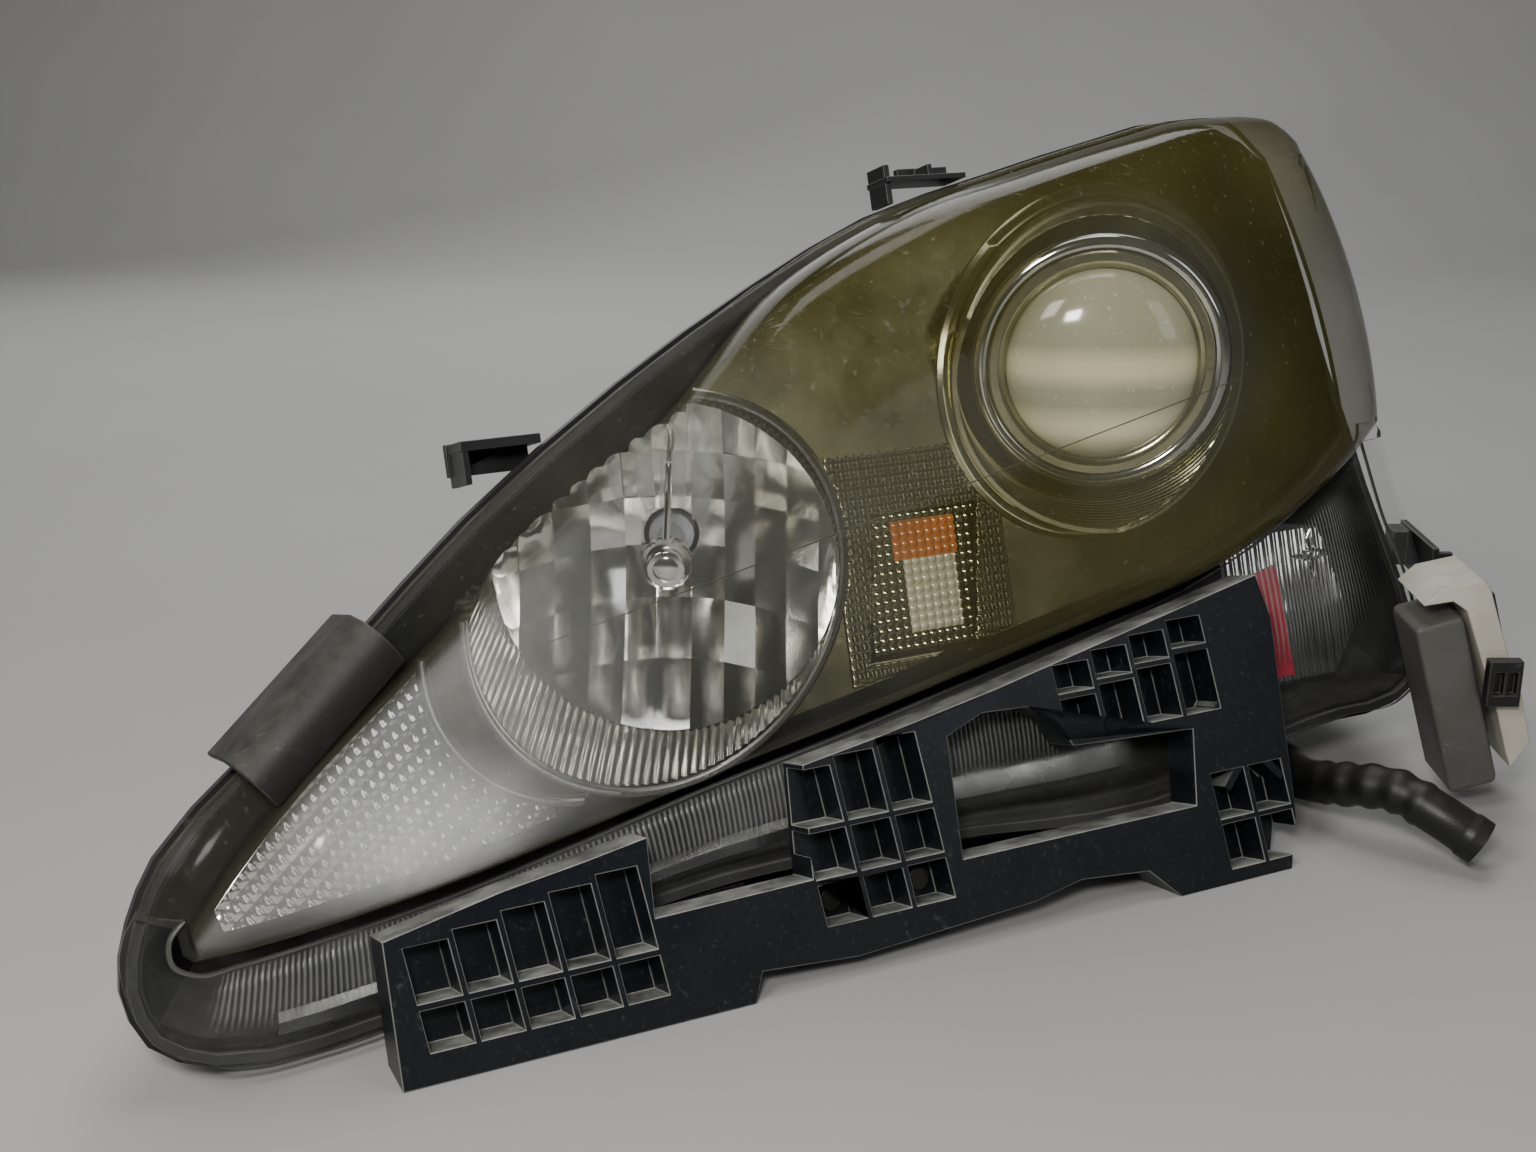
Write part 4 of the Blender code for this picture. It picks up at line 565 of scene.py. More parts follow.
def lens_outside():
    """Aged lens: clear and milky towards the tip, where a white patch of painted highlight stands in for
    glare, olive towards the outboard top, darker brown towards the edges.
    """
    s = Shade("lens_outside")
    age = s.attribute("age")
    yellow, edge, haze = age[0], age[1], age[2]
    cloud = s.spread(s.noise(14.0, 5.0, 0.6), 0.30, 0.72)
    broad = s.spread(s.noise(7.0, 3.0, 0.5), 0.36, 0.64)
    clear = s.blend(cloud, (0.22, 0.23, 0.21), (0.36, 0.37, 0.33))
    # The milky colour also paints the glare patch, a painted highlight.
    milky = s.blend(cloud, (0.84, 0.85, 0.82), (0.97, 0.98, 0.95))
    clear = s.blend(haze, clear, milky)
    olive = s.blend(broad, (0.098, 0.089, 0.019), (0.160, 0.147, 0.038))
    body = s.blend(yellow, clear, olive)
    # Darker towards the lens edges: very dark olive where yellowed, dull grey-brown elsewhere.
    edge_darkening = s.blend(yellow, (0.20, 0.20, 0.11), (0.026, 0.022, 0.005))
    body = s.blend(s.times(edge, 0.85), body, edge_darkening)
    hair = s.spread(s.noise(7.0, 7.0, 0.75, stretch=(10.0, 120.0, 26.0)), 0.605, 0.67)
    thin = s.spread(s.noise(9.0, 7.0, 0.75, stretch=(110.0, 9.0, 40.0)), 0.62, 0.68)
    hair = s.math("MAXIMUM", hair, thin)
    motes = s.spread(s.noise(480.0, 2.0), 0.66, 0.76)
    marks = s.times(s.math("MAXIMUM", hair, motes), 0.28)
    body = s.blend(marks, body, (0.62, 0.60, 0.50))
    veil = s.spread(cloud, 0.0, 1.0, 0.025, 0.060)
    # Alpha of the milky haze and of the painted glare patch.
    milk_and_glare = s.times(s.times(haze, haze), s.spread(cloud, 0.0, 1.0, 0.40, 1.00))
    veil = s.plus(veil, milk_and_glare)
    stain = s.spread(broad, 0.0, 1.0, 0.27, 0.43)
    alpha = s.plus(s.times(s.math("SUBTRACT", 1.0, yellow), veil),
                   s.times(yellow, stain))
    # More opaque towards the lens edges.
    dim = s.spread(yellow, 0.0, 1.0, 0.12, 0.34)
    alpha = s.plus(alpha, s.times(edge, dim))
    alpha = s.plus(alpha, s.times(hair, 0.05))
    alpha = s.plus(alpha, s.times(motes, 0.10))
    alpha = s.math("MINIMUM", alpha, 0.93)
    shine = s.plus(s.spread(cloud, 0.0, 1.0, 0.08, 0.17), s.times(hair, 0.12))
    s.bump(s.noise(90.0, 3.0), 0.02)
    return s.set(Base_Color=body, Alpha=alpha, Roughness=shine)


def lens_inside():
    s = Shade("lens_inside")
    tone = s.spread(s.noise(30.0, 4.0), 0.35, 0.65)
    base = s.blend(tone, (0.22, 0.21, 0.15), (0.30, 0.29, 0.22))
    alpha = s.spread(tone, 0.0, 1.0, 0.02, 0.05)
    s.bump(s.noise(70.0, 2.0), 0.03)
    return s.set(Base_Color=base, Alpha=alpha, Roughness=0.12)


def clear_plastic(name, colour=(0.34, 0.35, 0.34), low=0.03, high=0.08, dust=0.06, fluted=False):
    """Clear plastic with a milky film, scratches and dust; when fluted, a painted highlight makes it whiter
    and less clear towards the tops of its flutes.
    """
    s = Shade(name)
    tone = s.spread(s.noise(24.0, 5.0, 0.6), 0.34, 0.70)
    base = s.blend(tone, tuple(c * 0.6 for c in colour), colour)
    hair = s.spread(s.noise(8.0, 6.0, 0.7, stretch=(12.0, 110.0, 30.0)), 0.60, 0.68)
    base = s.blend(s.times(hair, 0.4), base, (0.60, 0.59, 0.56))
    lying = s.times(s.upward(0.3, 1.0), dust)
    base = s.blend(lying, base, DUST)
    alpha = s.plus(s.spread(tone, 0.0, 1.0, low, high), s.times(hair, 0.06))
    alpha = s.plus(alpha, s.times(lying, 0.5))
    if fluted:
        # Painted highlight on the tops of the flutes: whiter and less clear there.
        crest_highlight = s.attribute("age")[0]
        base = s.blend(crest_highlight, base, (0.46, 0.47, 0.45))
        alpha = s.plus(alpha, s.times(crest_highlight, 0.32))
    s.bump(s.noise(150.0, 3.0), 0.04)
    return s.set(Base_Color=base, Alpha=s.math("MINIMUM", alpha, 0.95),
                 Roughness=s.spread(tone, 0.0, 1.0, 0.10, 0.28))


def projector_glass():
    """Cream glass behind a thin film, with two warm level bands of painted highlight that stand in for its
    reflections.
    """
    s = Shade("projector_glass")
    level = s.along((0.0, 0.0, 1.0), tuple(LOW))
    upper = s.math("SUBTRACT", 1.0, s.spread(s.math("ABSOLUTE", s.math("SUBTRACT", level, 0.001)),
                                             0.002, 0.009))
    lower = s.math("SUBTRACT", 1.0, s.spread(s.math("ABSOLUTE", s.plus(level, 0.024)),
                                             0.002, 0.010))
    tone = s.spread(s.noise(20.0, 4.0), 0.3, 0.7)
    base = s.blend(tone, (0.38, 0.37, 0.23), (0.46, 0.45, 0.29))
    # The upper and lower bands are painted highlights: warm bright stripes standing in for reflections in
    # the glass.
    base = s.blend(s.times(upper, 0.75), base, (0.98, 0.88, 0.54))
    base = s.blend(s.times(lower, 0.95), base, (1.0, 0.94, 0.62))
    motes = s.spread(s.noise(420.0, 2.0), 0.64, 0.74, 0.0, 0.4)
    base = s.blend(motes, base, (0.95, 0.93, 0.80))
    s.bump(s.noise(60.0, 3.0), 0.02)
    return s.set(Base_Color=base, Roughness=s.spread(tone, 0.0, 1.0, 0.07, 0.16), Coat_Weight=0.5)


def tinted(name, colour, deep, rough=0.12, coat=0.4):
    """Coloured or frosted optic plastic."""
    s = Shade(name)
    tone = s.spread(s.noise(34.0, 4.0), 0.34, 0.68)
    base = s.blend(tone, deep, colour)
    motes = s.spread(s.noise(420.0, 2.0), 0.62, 0.74, 0.0, 0.3)
    base = s.blend(motes, base, tuple(min(1.0, c * 1.4 + 0.08) for c in colour))
    s.bump(s.noise(200.0, 3.0), 0.05)
    return s.set(Base_Color=base, Roughness=s.spread(tone, 0.0, 1.0, rough, rough + 0.12),
                 Coat_Weight=coat)


MATS = {
    "lens": [lens_outside(), lens_inside(),
             moulded("lens_edge", (0.060, 0.054, 0.022), (0.030, 0.026, 0.009), rough=0.22, dust=0.25)],
    "clear": [clear_plastic("clear_lens_front", fluted=True),
              clear_plastic("clear_lens_back", low=0.02, high=0.06, dust=0.05),
              moulded("clear_lens_edge", (0.12, 0.12, 0.11), (0.06, 0.06, 0.055), rough=0.25, dust=0.2)],
    "sealant": pair("sealant", (0.018, 0.018, 0.017), (0.010, 0.010, 0.010), rough=0.6, dust=0.8),
    "housing": pair("housing", (0.0085, 0.0090, 0.0095), (0.004, 0.004, 0.0045), edge=0.25,
                    rough=0.38, dust=0.35),
    "bezel": [chromed("bezel_satin", (0.105, 0.099, 0.050), (0.040, 0.037, 0.016), rough=0.15,
                      haze=0.14, dust=0.04)],
    "cup": [chromed("cup_satin", (0.62, 0.59, 0.38), (0.34, 0.32, 0.17), rough=0.13,
                    haze=0.10, dust=0.04)],
    "chrome": [chromed("bright_reflector")],
    "bowl": [chromed("bowl_reflector", (0.78, 0.78, 0.74), (0.50, 0.49, 0.44), rough=0.08,
                     haze=0.08, dust=0.05)],
    "rail": [chromed("satin_rail", (0.30, 0.30, 0.28), (0.16, 0.16, 0.14), rough=0.20, haze=0.15)],
    "screw": pair("dark_zinc", (0.060, 0.058, 0.052), (0.030, 0.027, 0.022), rough=0.45, dust=0.5,
                  metallic=0.8, scuff_colour=(0.14, 0.13, 0.12)),
    # Light grey diffuse finish for one bowl facet: a painted reflection.
    "reflection_facet": [tinted("painted_reflection_facet", (0.62, 0.63, 0.60), (0.46, 0.47, 0.44), 0.2)],
    "cast_bowl": [chromed("cast_reflector", (0.62, 0.62, 0.62), (0.40, 0.40, 0.40), 0.28, 0.2)],
    "case": pair("cast_case", (0.46, 0.47, 0.48), (0.30, 0.30, 0.31), rough=0.42, dust=0.6,
                 metallic=0.85, grain=0.25, scuff_colour=(0.6, 0.6, 0.6)),
    "steel": pair("steel_pin", (0.52, 0.52, 0.51), (0.34, 0.33, 0.31), rough=0.34, dust=0.3,
                  metallic=0.95, scuff_colour=(0.7, 0.7, 0.7)),
    "black": pair("black_plastic", (0.0085, 0.0090, 0.0100), (0.004, 0.004, 0.005), edge=0.3,
                  rough=0.36, dust=0.35),
    "bracket": pair("bracket_plastic", (0.0048, 0.0070, 0.0105), (0.0022, 0.0034, 0.0055), edge=0.45,
                    rough=0.34, dust=1.0, scuffs=0.8, scuff_colour=(0.10, 0.10, 0.10),
                    dust_colour=(0.44, 0.44, 0.41)),
    "rubber": pair("black_rubber", (0.0055, 0.0055, 0.0055), (0.003, 0.003, 0.003), rough=0.42,
                   dust=0.15, grain=0.3),
    "scuffed": pair("scuffed_plastic", (0.015, 0.014, 0.0125), (0.006, 0.0058, 0.0055), edge=0.2,
                    rough=0.50, dust=0.6, scuffs=1.0, scuff_colour=(0.13, 0.12, 0.105), grain=0.3),
    "white": pair("white_nylon", (0.72, 0.70, 0.62), (0.55, 0.53, 0.46), rough=0.45, dust=0.4),
    "grey": pair("grey_nylon", (0.105, 0.102, 0.092), (0.070, 0.068, 0.060), edge=0.2, rough=0.45,
                 dust=0.4, scuff_colour=(0.5, 0.5, 0.48)),
    "ivory": pair("ivory_nylon", (0.62, 0.60, 0.52), (0.44, 0.41, 0.33), edge=0.15, rough=0.42,
                  dust=0.5, scuffs=0.5, scuff_colour=(0.42, 0.36, 0.27)),
    "glass": [clear_plastic("bulb_glass", (0.80, 0.84, 0.88), 0.30, 0.45, 0.0)],
    "projector": [projector_glass()],
    "amber": [tinted("amber_glass", (0.80, 0.23, 0.02), (0.50, 0.11, 0.01))],
    "optic": [chromed("pixel_olive", (0.30, 0.285, 0.16), (0.14, 0.13, 0.07), 0.14, 0.12),
              tinted("pixel_cream", (0.66, 0.61, 0.43), (0.46, 0.42, 0.27), 0.14),
              tinted("pixel_amber", (0.66, 0.20, 0.035), (0.42, 0.11, 0.02), 0.14)],
    "red": [tinted("red_plastic", (0.60, 0.02, 0.06), (0.33, 0.01, 0.03))],
}


# ---------------------------------------------------------------- lenses

def dome_height(point, t, s, length, side):
    last = len(LENS_RUNGS) - 1
    distance = min(s * length, (1.0 - s) * length, side)
    share = min(distance / EDGE_ROUND, 1.0)
    rise = EDGE_RISE * min(1.0, length / 0.045) * math.sqrt(1.0 - (1.0 - share) ** 2)
    along = (t / last) ** 1.25
    crown = CROWN * 4.0 * s * (1.0 - s) * (4.0 * along * (1.0 - along)) ** 0.6
    return edge_height(point.x) + rise + crown


def rung_shares(length, inner):
    scale = min(1.0, length / 0.060) / length
    edge = [0.0] + [EDGE_ROUND * scale * k for k in (0.03, 0.10, 0.20, 0.34, 0.52, 0.74, 1.0)]
    middle = [edge[-1] + (1.0 - 2.0 * edge[-1]) * i / (inner + 1) for i in range(1, inner + 1)]
    return edge + middle + [1.0 - share for share in reversed(edge)]


def dome_stations():
    fine = [i / 8 for i in range(8 * 11 + 1)]
    close = (0.12, 0.24, 0.36, 0.48, 0.58, 0.68, 0.76, 0.83, 0.89, 0.94, 0.975, 1.0)
    return fine + [11.0 + x for x in close]


def lowered(point, top, soft=0.004):
    """A point eased under a level, so that a crown stays below it."""
    over = point.z - top + soft
    if over > 0.0:
        point.z = top - soft * math.exp(-over / soft)
    return point


def add_outer_lens():
    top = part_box("outer_lens")[1].z
    last = len(LENS_RUNGS) - 1
    side = lens_rung(last, [i / 24 for i in range(25)])
    stations = dome_stations()
    bm = bmesh.new()
    age_and_light_values = []
    grid = []
    for t in stations:
        ends = lens_rung(t, [0.0, 1.0])
        length = (ends[1] - ends[0]).length
        shares = rung_shares(length, 20)
        row = []
        for s, flat in zip(shares, lens_rung(t, shares)):
            to_side = min((flat - other).length for other in side)
            height = dome_height(flat, t, s, length, to_side)
            row.append(bm.verts.new(lowered(at_lens(flat.x, flat.y, height), top)))
            near = min(s * length, (1.0 - s) * length, to_side)
            yellow = ease((flat.x + 0.46 * flat.y + 0.075) / 0.115)
            beam = to_lens(LOW)
            off = math.hypot(flat.x - beam.x, flat.y - beam.y)
            yellow *= 1.0 - 0.42 * ease((0.070 - off) / 0.030) - 0.25 * ease((0.046 - off) / 0.010)
            haze = 0.50 * ease((-0.045 - flat.x) / 0.100)
            # Painted highlight: a milky white patch on the lower tip that stands in for glare, added to the
            # haze.
            glare_spot_distance = math.hypot((flat.x + 0.176) * 0.75, flat.y + 0.068)
            haze = (haze + 0.50 * ease((0.042 - glare_spot_distance) / 0.038)) * ease(near / 0.005)
            # Edge factor: darker and more opaque towards the rim, over a wider band on the upper, yellowed
            # side.
            wide = 0.005 + 0.020 * yellow * (s > 0.5 or to_side < 0.04)
            age_and_light_values.append((yellow, 1.0 - ease(near / wide), haze))
        grid.append(row)
    skin(bm, grid)
    rim = [(row[0], t, False) for row, t in zip(grid, stations)]
    rim += [(vert, stations[-1], False) for vert in grid[-1][1:-1]]
    rim += [(row[-1], t, True) for row, t in zip(reversed(grid), reversed(stations))]
    rim += [(vert, 0.0, False) for vert in reversed(grid[0][1:-1])]
    edge = in_metres(SKIRT_EDGE)
    flats = [to_lens(vert.co) for vert, _, _ in rim]
    count = len(rim)
    rings = [[], [], [], []]
    for i, (_, t, upper) in enumerate(rim):
        along = flats[(i + 1) % count] - flats[i - 1]
        outward = Vector((along.y, -along.x)).normalized()
        flat = Vector((flats[i].x, flats[i].y))
        skirt = upper and t <= len(edge) - 1
        wide = glide(edge, t) if skirt else flat + outward * FLANGE
        base = edge_height(flat.x)
        yellow = ease((flat.x + 0.02) / 0.14)
        rings[0].append(bm.verts.new(at_lens(flat.x, flat.y, base - STEP_DOWN * 0.5)))
        rings[1].append(bm.verts.new(at_lens(flat.x, flat.y, base - STEP_DOWN + 0.0015)))
        soft = flat.lerp(wide, 0.04)
        rings[2].append(bm.verts.new(at_lens(soft.x, soft.y, edge_height(soft.x) - STEP_DOWN)))
        rings[3].append(bm.verts.new(at_lens(wide.x, wide.y, edge_height(wide.x) - STEP_DOWN)))
        age_and_light_values += [(yellow, 0.75 if yellow > 0.1 else 0.25, 0.0)] * len(rings)
    skin(bm, [[vert for vert, _, _ in rim]] + rings, closed=True)
    mats = MATS["lens"]
    obj = mount("outer_lens_look", bm, "lamp_body", mats, ("outer_lens",), 50.0)
    paint_age_and_light(obj, age_and_light_values)
    wall(obj, LENS_WALL, 1, 2)


def add_lens_line():
    """Fine straight line along the outside of the lens."""
    start = Vector((-0.128, -0.004))
    end = Vector((0.167, 0.056))
    path = []
    for k in range(61):
        flat = start.lerp(end, k / 60)
        path.append(surface_point(flat, -0.00025))
    bm = bmesh.new()
    pipe(bm, path, 0.00022, sides=6)
    mount("lens_line", bm, "lamp_body", [MATS["lens"][2]])


def surface_point(flat, lift):
    """Point of the dome above a flat point, found by closing in on its rung."""
    low, high = 0.0, float(len(LENS_RUNGS) - 1)
    for _ in range(28):
        t = (low + high) / 2
        a, b = lens_rung(t, [0.0, 1.0])
        side = (b.x - a.x) * (flat.y - a.y) - (b.y - a.y) * (flat.x - a.x)
        if side < 0.0:
            low = t
        else:
            high = t
    length = (b - a).length
    s = (flat - a).dot(b - a) / (length * length)
    return at_lens(flat.x, flat.y, dome_height(flat, t, s, length, 1.0) + lift)


def add_lower_lens():
    """Clear strip below the dome with fine flutes across it, and the side lens."""
    stations = (((-249.5, -75.0), (-264.0, -69.5)),) + APRON
    inner = in_metres([station[0] for station in stations])
    outer = in_metres([station[1] for station in stations])
    steps = []
    t = 0.0
    last = len(stations) - 1
    travelled = 0.0
    before = glide(inner, 0.0).lerp(glide(outer, 0.0), 0.5)
    while t < last:
        steps.append((t, travelled))
        nearby = glide(inner, min(t + 0.01, last)).lerp(glide(outer, min(t + 0.01, last)), 0.5)
        speed = max((nearby - before).length / 0.01, 0.006)
        t = min(t + 0.00044 / speed, last)
        here = glide(inner, t).lerp(glide(outer, t), 0.5)
        travelled += (here - before).length
        before = here
    steps.append((float(last), travelled))
    run_end = travelled - 0.075
    shares = ((0.0, 12.0), (0.035, 9.2), (0.07, 8.0), (0.11, 7.4), (0.25, 6.6), (0.45, 6.0), (0.62, 6.6),
              (0.76, 7.6), (0.80, 8.0), (0.835, 10.5), (0.86, 14.5), (1.0, 14.5))
    bm = bmesh.new()
    grid = []
    flute_highlights = []
    for t, run in steps:
        near = glide(inner, t)
        far = glide(outer, t)
        wave = 0.5 + 0.5 * math.cos(2.0 * math.pi * run / 0.0021)
        row = []
        for share, drop in shares:
            flat = near.lerp(far, share)
            lift = SIDE_LENS_RISE * ease((flat.x - 0.192) / 0.014) * (0.0 < share < 0.86)
            fluted = (0.05 < share < 0.62) * ease((t - 3.4) / 0.5) * ease((run_end - run) / 0.03)
            flute = -0.00045 * wave * fluted
            # Painted highlight on the tops of the flutes, stored for the material.
            flute_highlights.append(((1.0 - wave) ** 2 * fluted, 0.0, 0.0))
            height = edge_height(flat.x) - drop * MM + lift + flute
            row.append(bm.verts.new(at_lens(flat.x, flat.y, height)))
        grid.append(row)
    skin(bm, grid, flip=True)
    obj = mount("lower_lens_look", bm, "lamp_body", MATS["clear"], ("lower_lens",), 60.0)
    paint_age_and_light(obj, flute_highlights)
    wall(obj, 1.8 * MM, 1, 2)


# ---------------------------------------------------------------- reflectors

def doubled(edges, inner):
    """Samples across cells, each cell edge given once for either side."""
    found = []
    for cell, (low, high) in enumerate(zip(edges, edges[1:])):
        for k in range(inner + 1):
            found.append((low + (high - low) * k / inner, cell))
    return found


def add_high_bowl():
    """Bowl of upright rectangular facets."""
    draw = random.Random(11)
    xs = [-65, -56, -44, -31, -18, -6, 8, 21, 33, 45, 57, 65]
    zs = [-65, -44, -24, -4, 16, 38, 65]
    columns = doubled([x * MM for x in xs], 4)
    rows = doubled([z * MM for z in zs], 4)
    places = [(i, j) for i in range(len(xs)) for j in range(len(zs))]
    tilt = {place: (draw.uniform(-1, 1), draw.uniform(-1, 1)) for place in places}
    area = bowl_area()
    bm = bmesh.new()
    grid = []
    limit = HIGH_RADIUS - 0.0008
    for x, i in columns:
        reach = math.sqrt(max(limit * limit - x * x, 0.0))
        line = []
        for z, j in rows:
            z = min(max(z, -reach), reach)
            middle_x = (xs[i] + xs[i + 1]) / 2 * MM
            middle_z = (zs[j] + zs[j + 1]) / 2 * MM
            wide = (xs[i + 1] - xs[i]) / 2 * MM
            a, b = tilt[i, j]
            part = (x - middle_x) / wide
            height = (x * x + z * z) / (4.0 * HIGH_FOCUS) + 0.0016
            height += 0.0006 * (1.0 - part * part) + 0.0003 * a * part + 0.0002 * b * (z - middle_z) / 0.011
            line.append(bm.verts.new((HIGH.x + x, HIGH.y - max(height, 0.0012), HIGH.z + z)))
        grid.append(line)

    def choose(centre):
        off = centre - HIGH
        flat = on_bezel(centre.x, centre.z)
        if off_axis(centre, HIGH) < 0.0118 or not inside(area, flat.x, flat.y):
            return None
        # One facet right of and below the bulb gets the light grey finish, a painted reflection.
        return int(0.021 < off.x < 0.033 and -0.044 < off.z < -0.024)

    sift(bm, skin(bm, grid, flip=True), choose)
    tucked(bm, area)
    bmesh.ops.remove_doubles(bm, verts=bm.verts, dist=1e-6)
    mount("high_beam_facets", bm, "lamp_body", [MATS["bowl"][0], MATS["reflection_facet"][0]],
          smooth=28.0)


def lip(name, centre, radius, ribs=120, deep=0.0006, spare=None):
    """Ribbed inner wall from a bowl's edge up to the bezel."""
    area = bowl_area()
    bm = bmesh.new()
    sides = ribs * 6
    rows = []
    for k in range(sides):
        angle = 2.0 * math.pi * k / sides
        r = radius - 0.0002 - deep * (0.5 + 0.5 * math.cos(angle * ribs))
        x = centre.x + r * math.cos(angle)
        z = centre.z + r * math.sin(angle)
        front = front_y(x, z, BEZEL_W)
        back = centre.y - radius ** 2 / (4 * HIGH_FOCUS)
        rows.append([bm.verts.new((x, back + (front - back) * i / 4, z)) for i in range(5)])
    for first, second in zip(rows, rows[1:] + rows[:1]):
        middle = first[4].co
        flat = to_lens(middle)
        if not inside(area, flat.x, flat.y):
            continue
        if spare and off_axis(middle, spare[0]) < spare[1]:
            continue
        strip(bm, first, second)
    mount(name, bm, "lamp_body", MATS["chrome"], smooth=50.0)


def rim_ring(name, centre, radius, foot, mats, section, spare=None):
    """Raised rim round an opening of the bezel, lying in the lens plane."""
    bm = bmesh.new()
    rows = []
    keep = []
    sides = 160
    for k in range(sides):
        angle = 2.0 * math.pi * k / sides
        row = []
        for extra, high in section:
            x = centre.x + (radius + extra) * math.cos(angle)
            z = centre.z + (radius + extra) * math.sin(angle)
            height = BEZEL_W + edge_height(on_bezel(x, z).x) + high
            row.append(bm.verts.new((x, front_y(x, z, height), z)))
        rows.append(row + row[:1])
        flat = to_lens(row[0].co)
        clear = spare is None or off_axis(row[0].co, spare[0]) > spare[1]
        keep.append(inside(foot, flat.x, flat.y) and clear)
    for k, (first, second) in enumerate(zip(rows, rows[1:] + rows[:1])):
        if keep[k] and keep[(k + 1) % sides]:
            strip(bm, first, second)
    for vert in [v for v in bm.verts if not v.link_faces]:
        bm.verts.remove(vert)
    bmesh.ops.holes_fill(bm, edges=bm.edges, sides=8)
    bmesh.ops.recalc_face_normals(bm, faces=bm.faces)
    mount(name, bm, "lamp_body", mats, smooth=40.0)


def add_side_bowl():
    """Second bowl of radial facets, seen only outside the high beam bowl."""
    draw = random.Random(5)
    sectors = [math.radians(10.0 * k) for k in range(37)]
    rings = [3 * MM, 17 * MM, 31 * MM, 44 * MM, 55.4 * MM]
    around = doubled(sectors, 3)
    out = doubled(rings, 3)
    tilt = {(i, j): (draw.uniform(-1, 1), draw.uniform(-1, 1)) for i in range(37) for j in range(5)}
    foot = bowl_area()
    bm = bmesh.new()
    grid = []
    for angle, i in around:
        line = []
        for r, j in out:
            a, b = tilt[i, j]
            part = (angle - (sectors[i] + sectors[i + 1]) / 2) / math.radians(5.0)
            span = (rings[j + 1] - rings[j]) / 2
            step = (r - (rings[j] + rings[j + 1]) / 2) / span
            height = r * r / (4.0 * HIGH_FOCUS) + 0.0018 + 0.0010 * (1.0 - part * part)
            height += 0.0005 * a * part + 0.0006 * b * step
            line.append(bm.verts.new((
                SIDE_BOWL.x + r * math.cos(angle), SIDE_BOWL.y - height, SIDE_BOWL.z + r * math.sin(angle),
            )))
        grid.append(line)

    def choose(centre):
        flat = on_bezel(centre.x, centre.z)
        hidden = off_axis(centre, HIGH) < HIGH_RADIUS + 0.0030
        return None if hidden or not inside(foot, flat.x, flat.y) else 0

    sift(bm, skin(bm, grid), choose)
    mount("side_bowl_facets", bm, "lamp_body", MATS["bowl"], smooth=28.0)


def pillow(u, v, pitch_u, pitch_v, high):
    """Height of a pillow pattern; 0 along the grooves."""
    a = abs(math.sin(math.pi * u / pitch_u))
    b = abs(math.sin(math.pi * v / pitch_v))
    return high * min(a, 0.9) * min(b, 0.9)


def add_tip_reflector():
    """Chromed tip of small pillows in rows along the lens."""
    bm = bmesh.new()
    steps = 150
    grid = []
    for k in range(steps + 1):
        t = 0.75 + (3.88 - 0.75) * k / steps
        ends = lens_rung(t, [0.0, 1.0])
        length = (ends[1] - ends[0]).length
        margin = 0.0058 / length
        row = []
        for i in range(73):
            share = margin + (1.0 - 2.0 * margin) * i / 72
            flat = lens_rung(t, [share])[0]
            along = flat.x * 0.80 + flat.y * 0.60
            over = -flat.x * 0.60 + flat.y * 0.80
            high = pillow(along, over, 0.0042, 0.0060, 0.0007)
            row.append(bm.verts.new(at_lens(flat.x, flat.y, edge_height(flat.x) + BEZEL_W + high)))
        grid.append(row)

    def choose(centre):
        return None if off_axis(centre, SIDE_BOWL) < SIDE_BOWL_RADIUS + 0.0030 else 0

    sift(bm, skin(bm, grid), choose)
    mount("tip_reflector_pillows", bm, "lamp_body", MATS["chrome"], smooth=60.0)


def framed(point, low, high, margin):
    """Whether a point, seen along Y, lies within a box widened by a margin."""
    across = low.x - margin < point.x < high.x + margin
    return across and low.z - margin < point.z < high.z + margin


def add_turn_optic():
    """Grid of small pillows in front of the turn signal, cream and amber in the middle."""
    bm = bmesh.new()
    low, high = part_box("turn_optic")
    fine = PILLOW_PITCH / 5
    count_u = int(0.052 / fine)
    count_v = int(0.062 / fine)
    grid = []
    for i in range(count_u + 1):
        u = 0.0140 + i * fine
        row = []
        for j in range(count_v + 1):
            v = -0.0350 + j * fine
            high_here = pillow(u - 0.014, v + 0.035, PILLOW_PITCH, PILLOW_PITCH, PILLOW_HEIGHT)
            row.append(bm.verts.new(at_lens(u, v, -0.0146 + high_here)))
        grid.append(row)

    def choose(centre):
        flat = to_lens(centre)
        if not framed(centre, low, high, -0.0006):
            return None
        if 0.031 < flat.x < 0.054 and -0.024 < flat.y < 0.004:
            return 1
        return 2 if 0.028 < flat.x < 0.056 and 0.004 < flat.y < 0.019 else 0

    sift(bm, skin(bm, grid), choose)
    obj = mount("turn_optic_pillows", bm, "lamp_body", MATS["optic"], ("turn_optic",), 60.0)
    wall(obj, 1.5 * MM)


def add_signal_surround():
    """Pillowed part of the bezel round the signal window."""
    bm = bmesh.new()
    low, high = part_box("turn_optic")
    foot = foot_loop(0.0078)
    fine = PILLOW_PITCH / 4
    grid = []
    for i in range(int(0.074 / fine) + 1):
        u = 0.0005 + i * fine
        row = []
        for j in range(int(0.088 / fine) + 1):
            v = -0.0410 + j * fine
            high_here = pillow(u, v, PILLOW_PITCH, PILLOW_PITCH, PILLOW_HEIGHT)
            row.append(bm.verts.new(at_lens(u, v, -0.0093 + high_here)))
        grid.append(row)

    def choose(centre):
        flat = to_lens(centre)
        window = framed(centre, low, high, 0.0004)
        near_high = off_axis(centre, HIGH) < HIGH_RADIUS + 0.0034
        near_low = off_axis(centre, LOW) < SHROUD_RADIUS + 0.0072
        return None if window or near_high or near_low or not inside(foot, flat.x, flat.y) else 0

    sift(bm, skin(bm, grid), choose)
    obj = mount("signal_surround", bm, "lamp_body", MATS["optic"], smooth=60.0)
    wall(obj, 0.6 * MM)


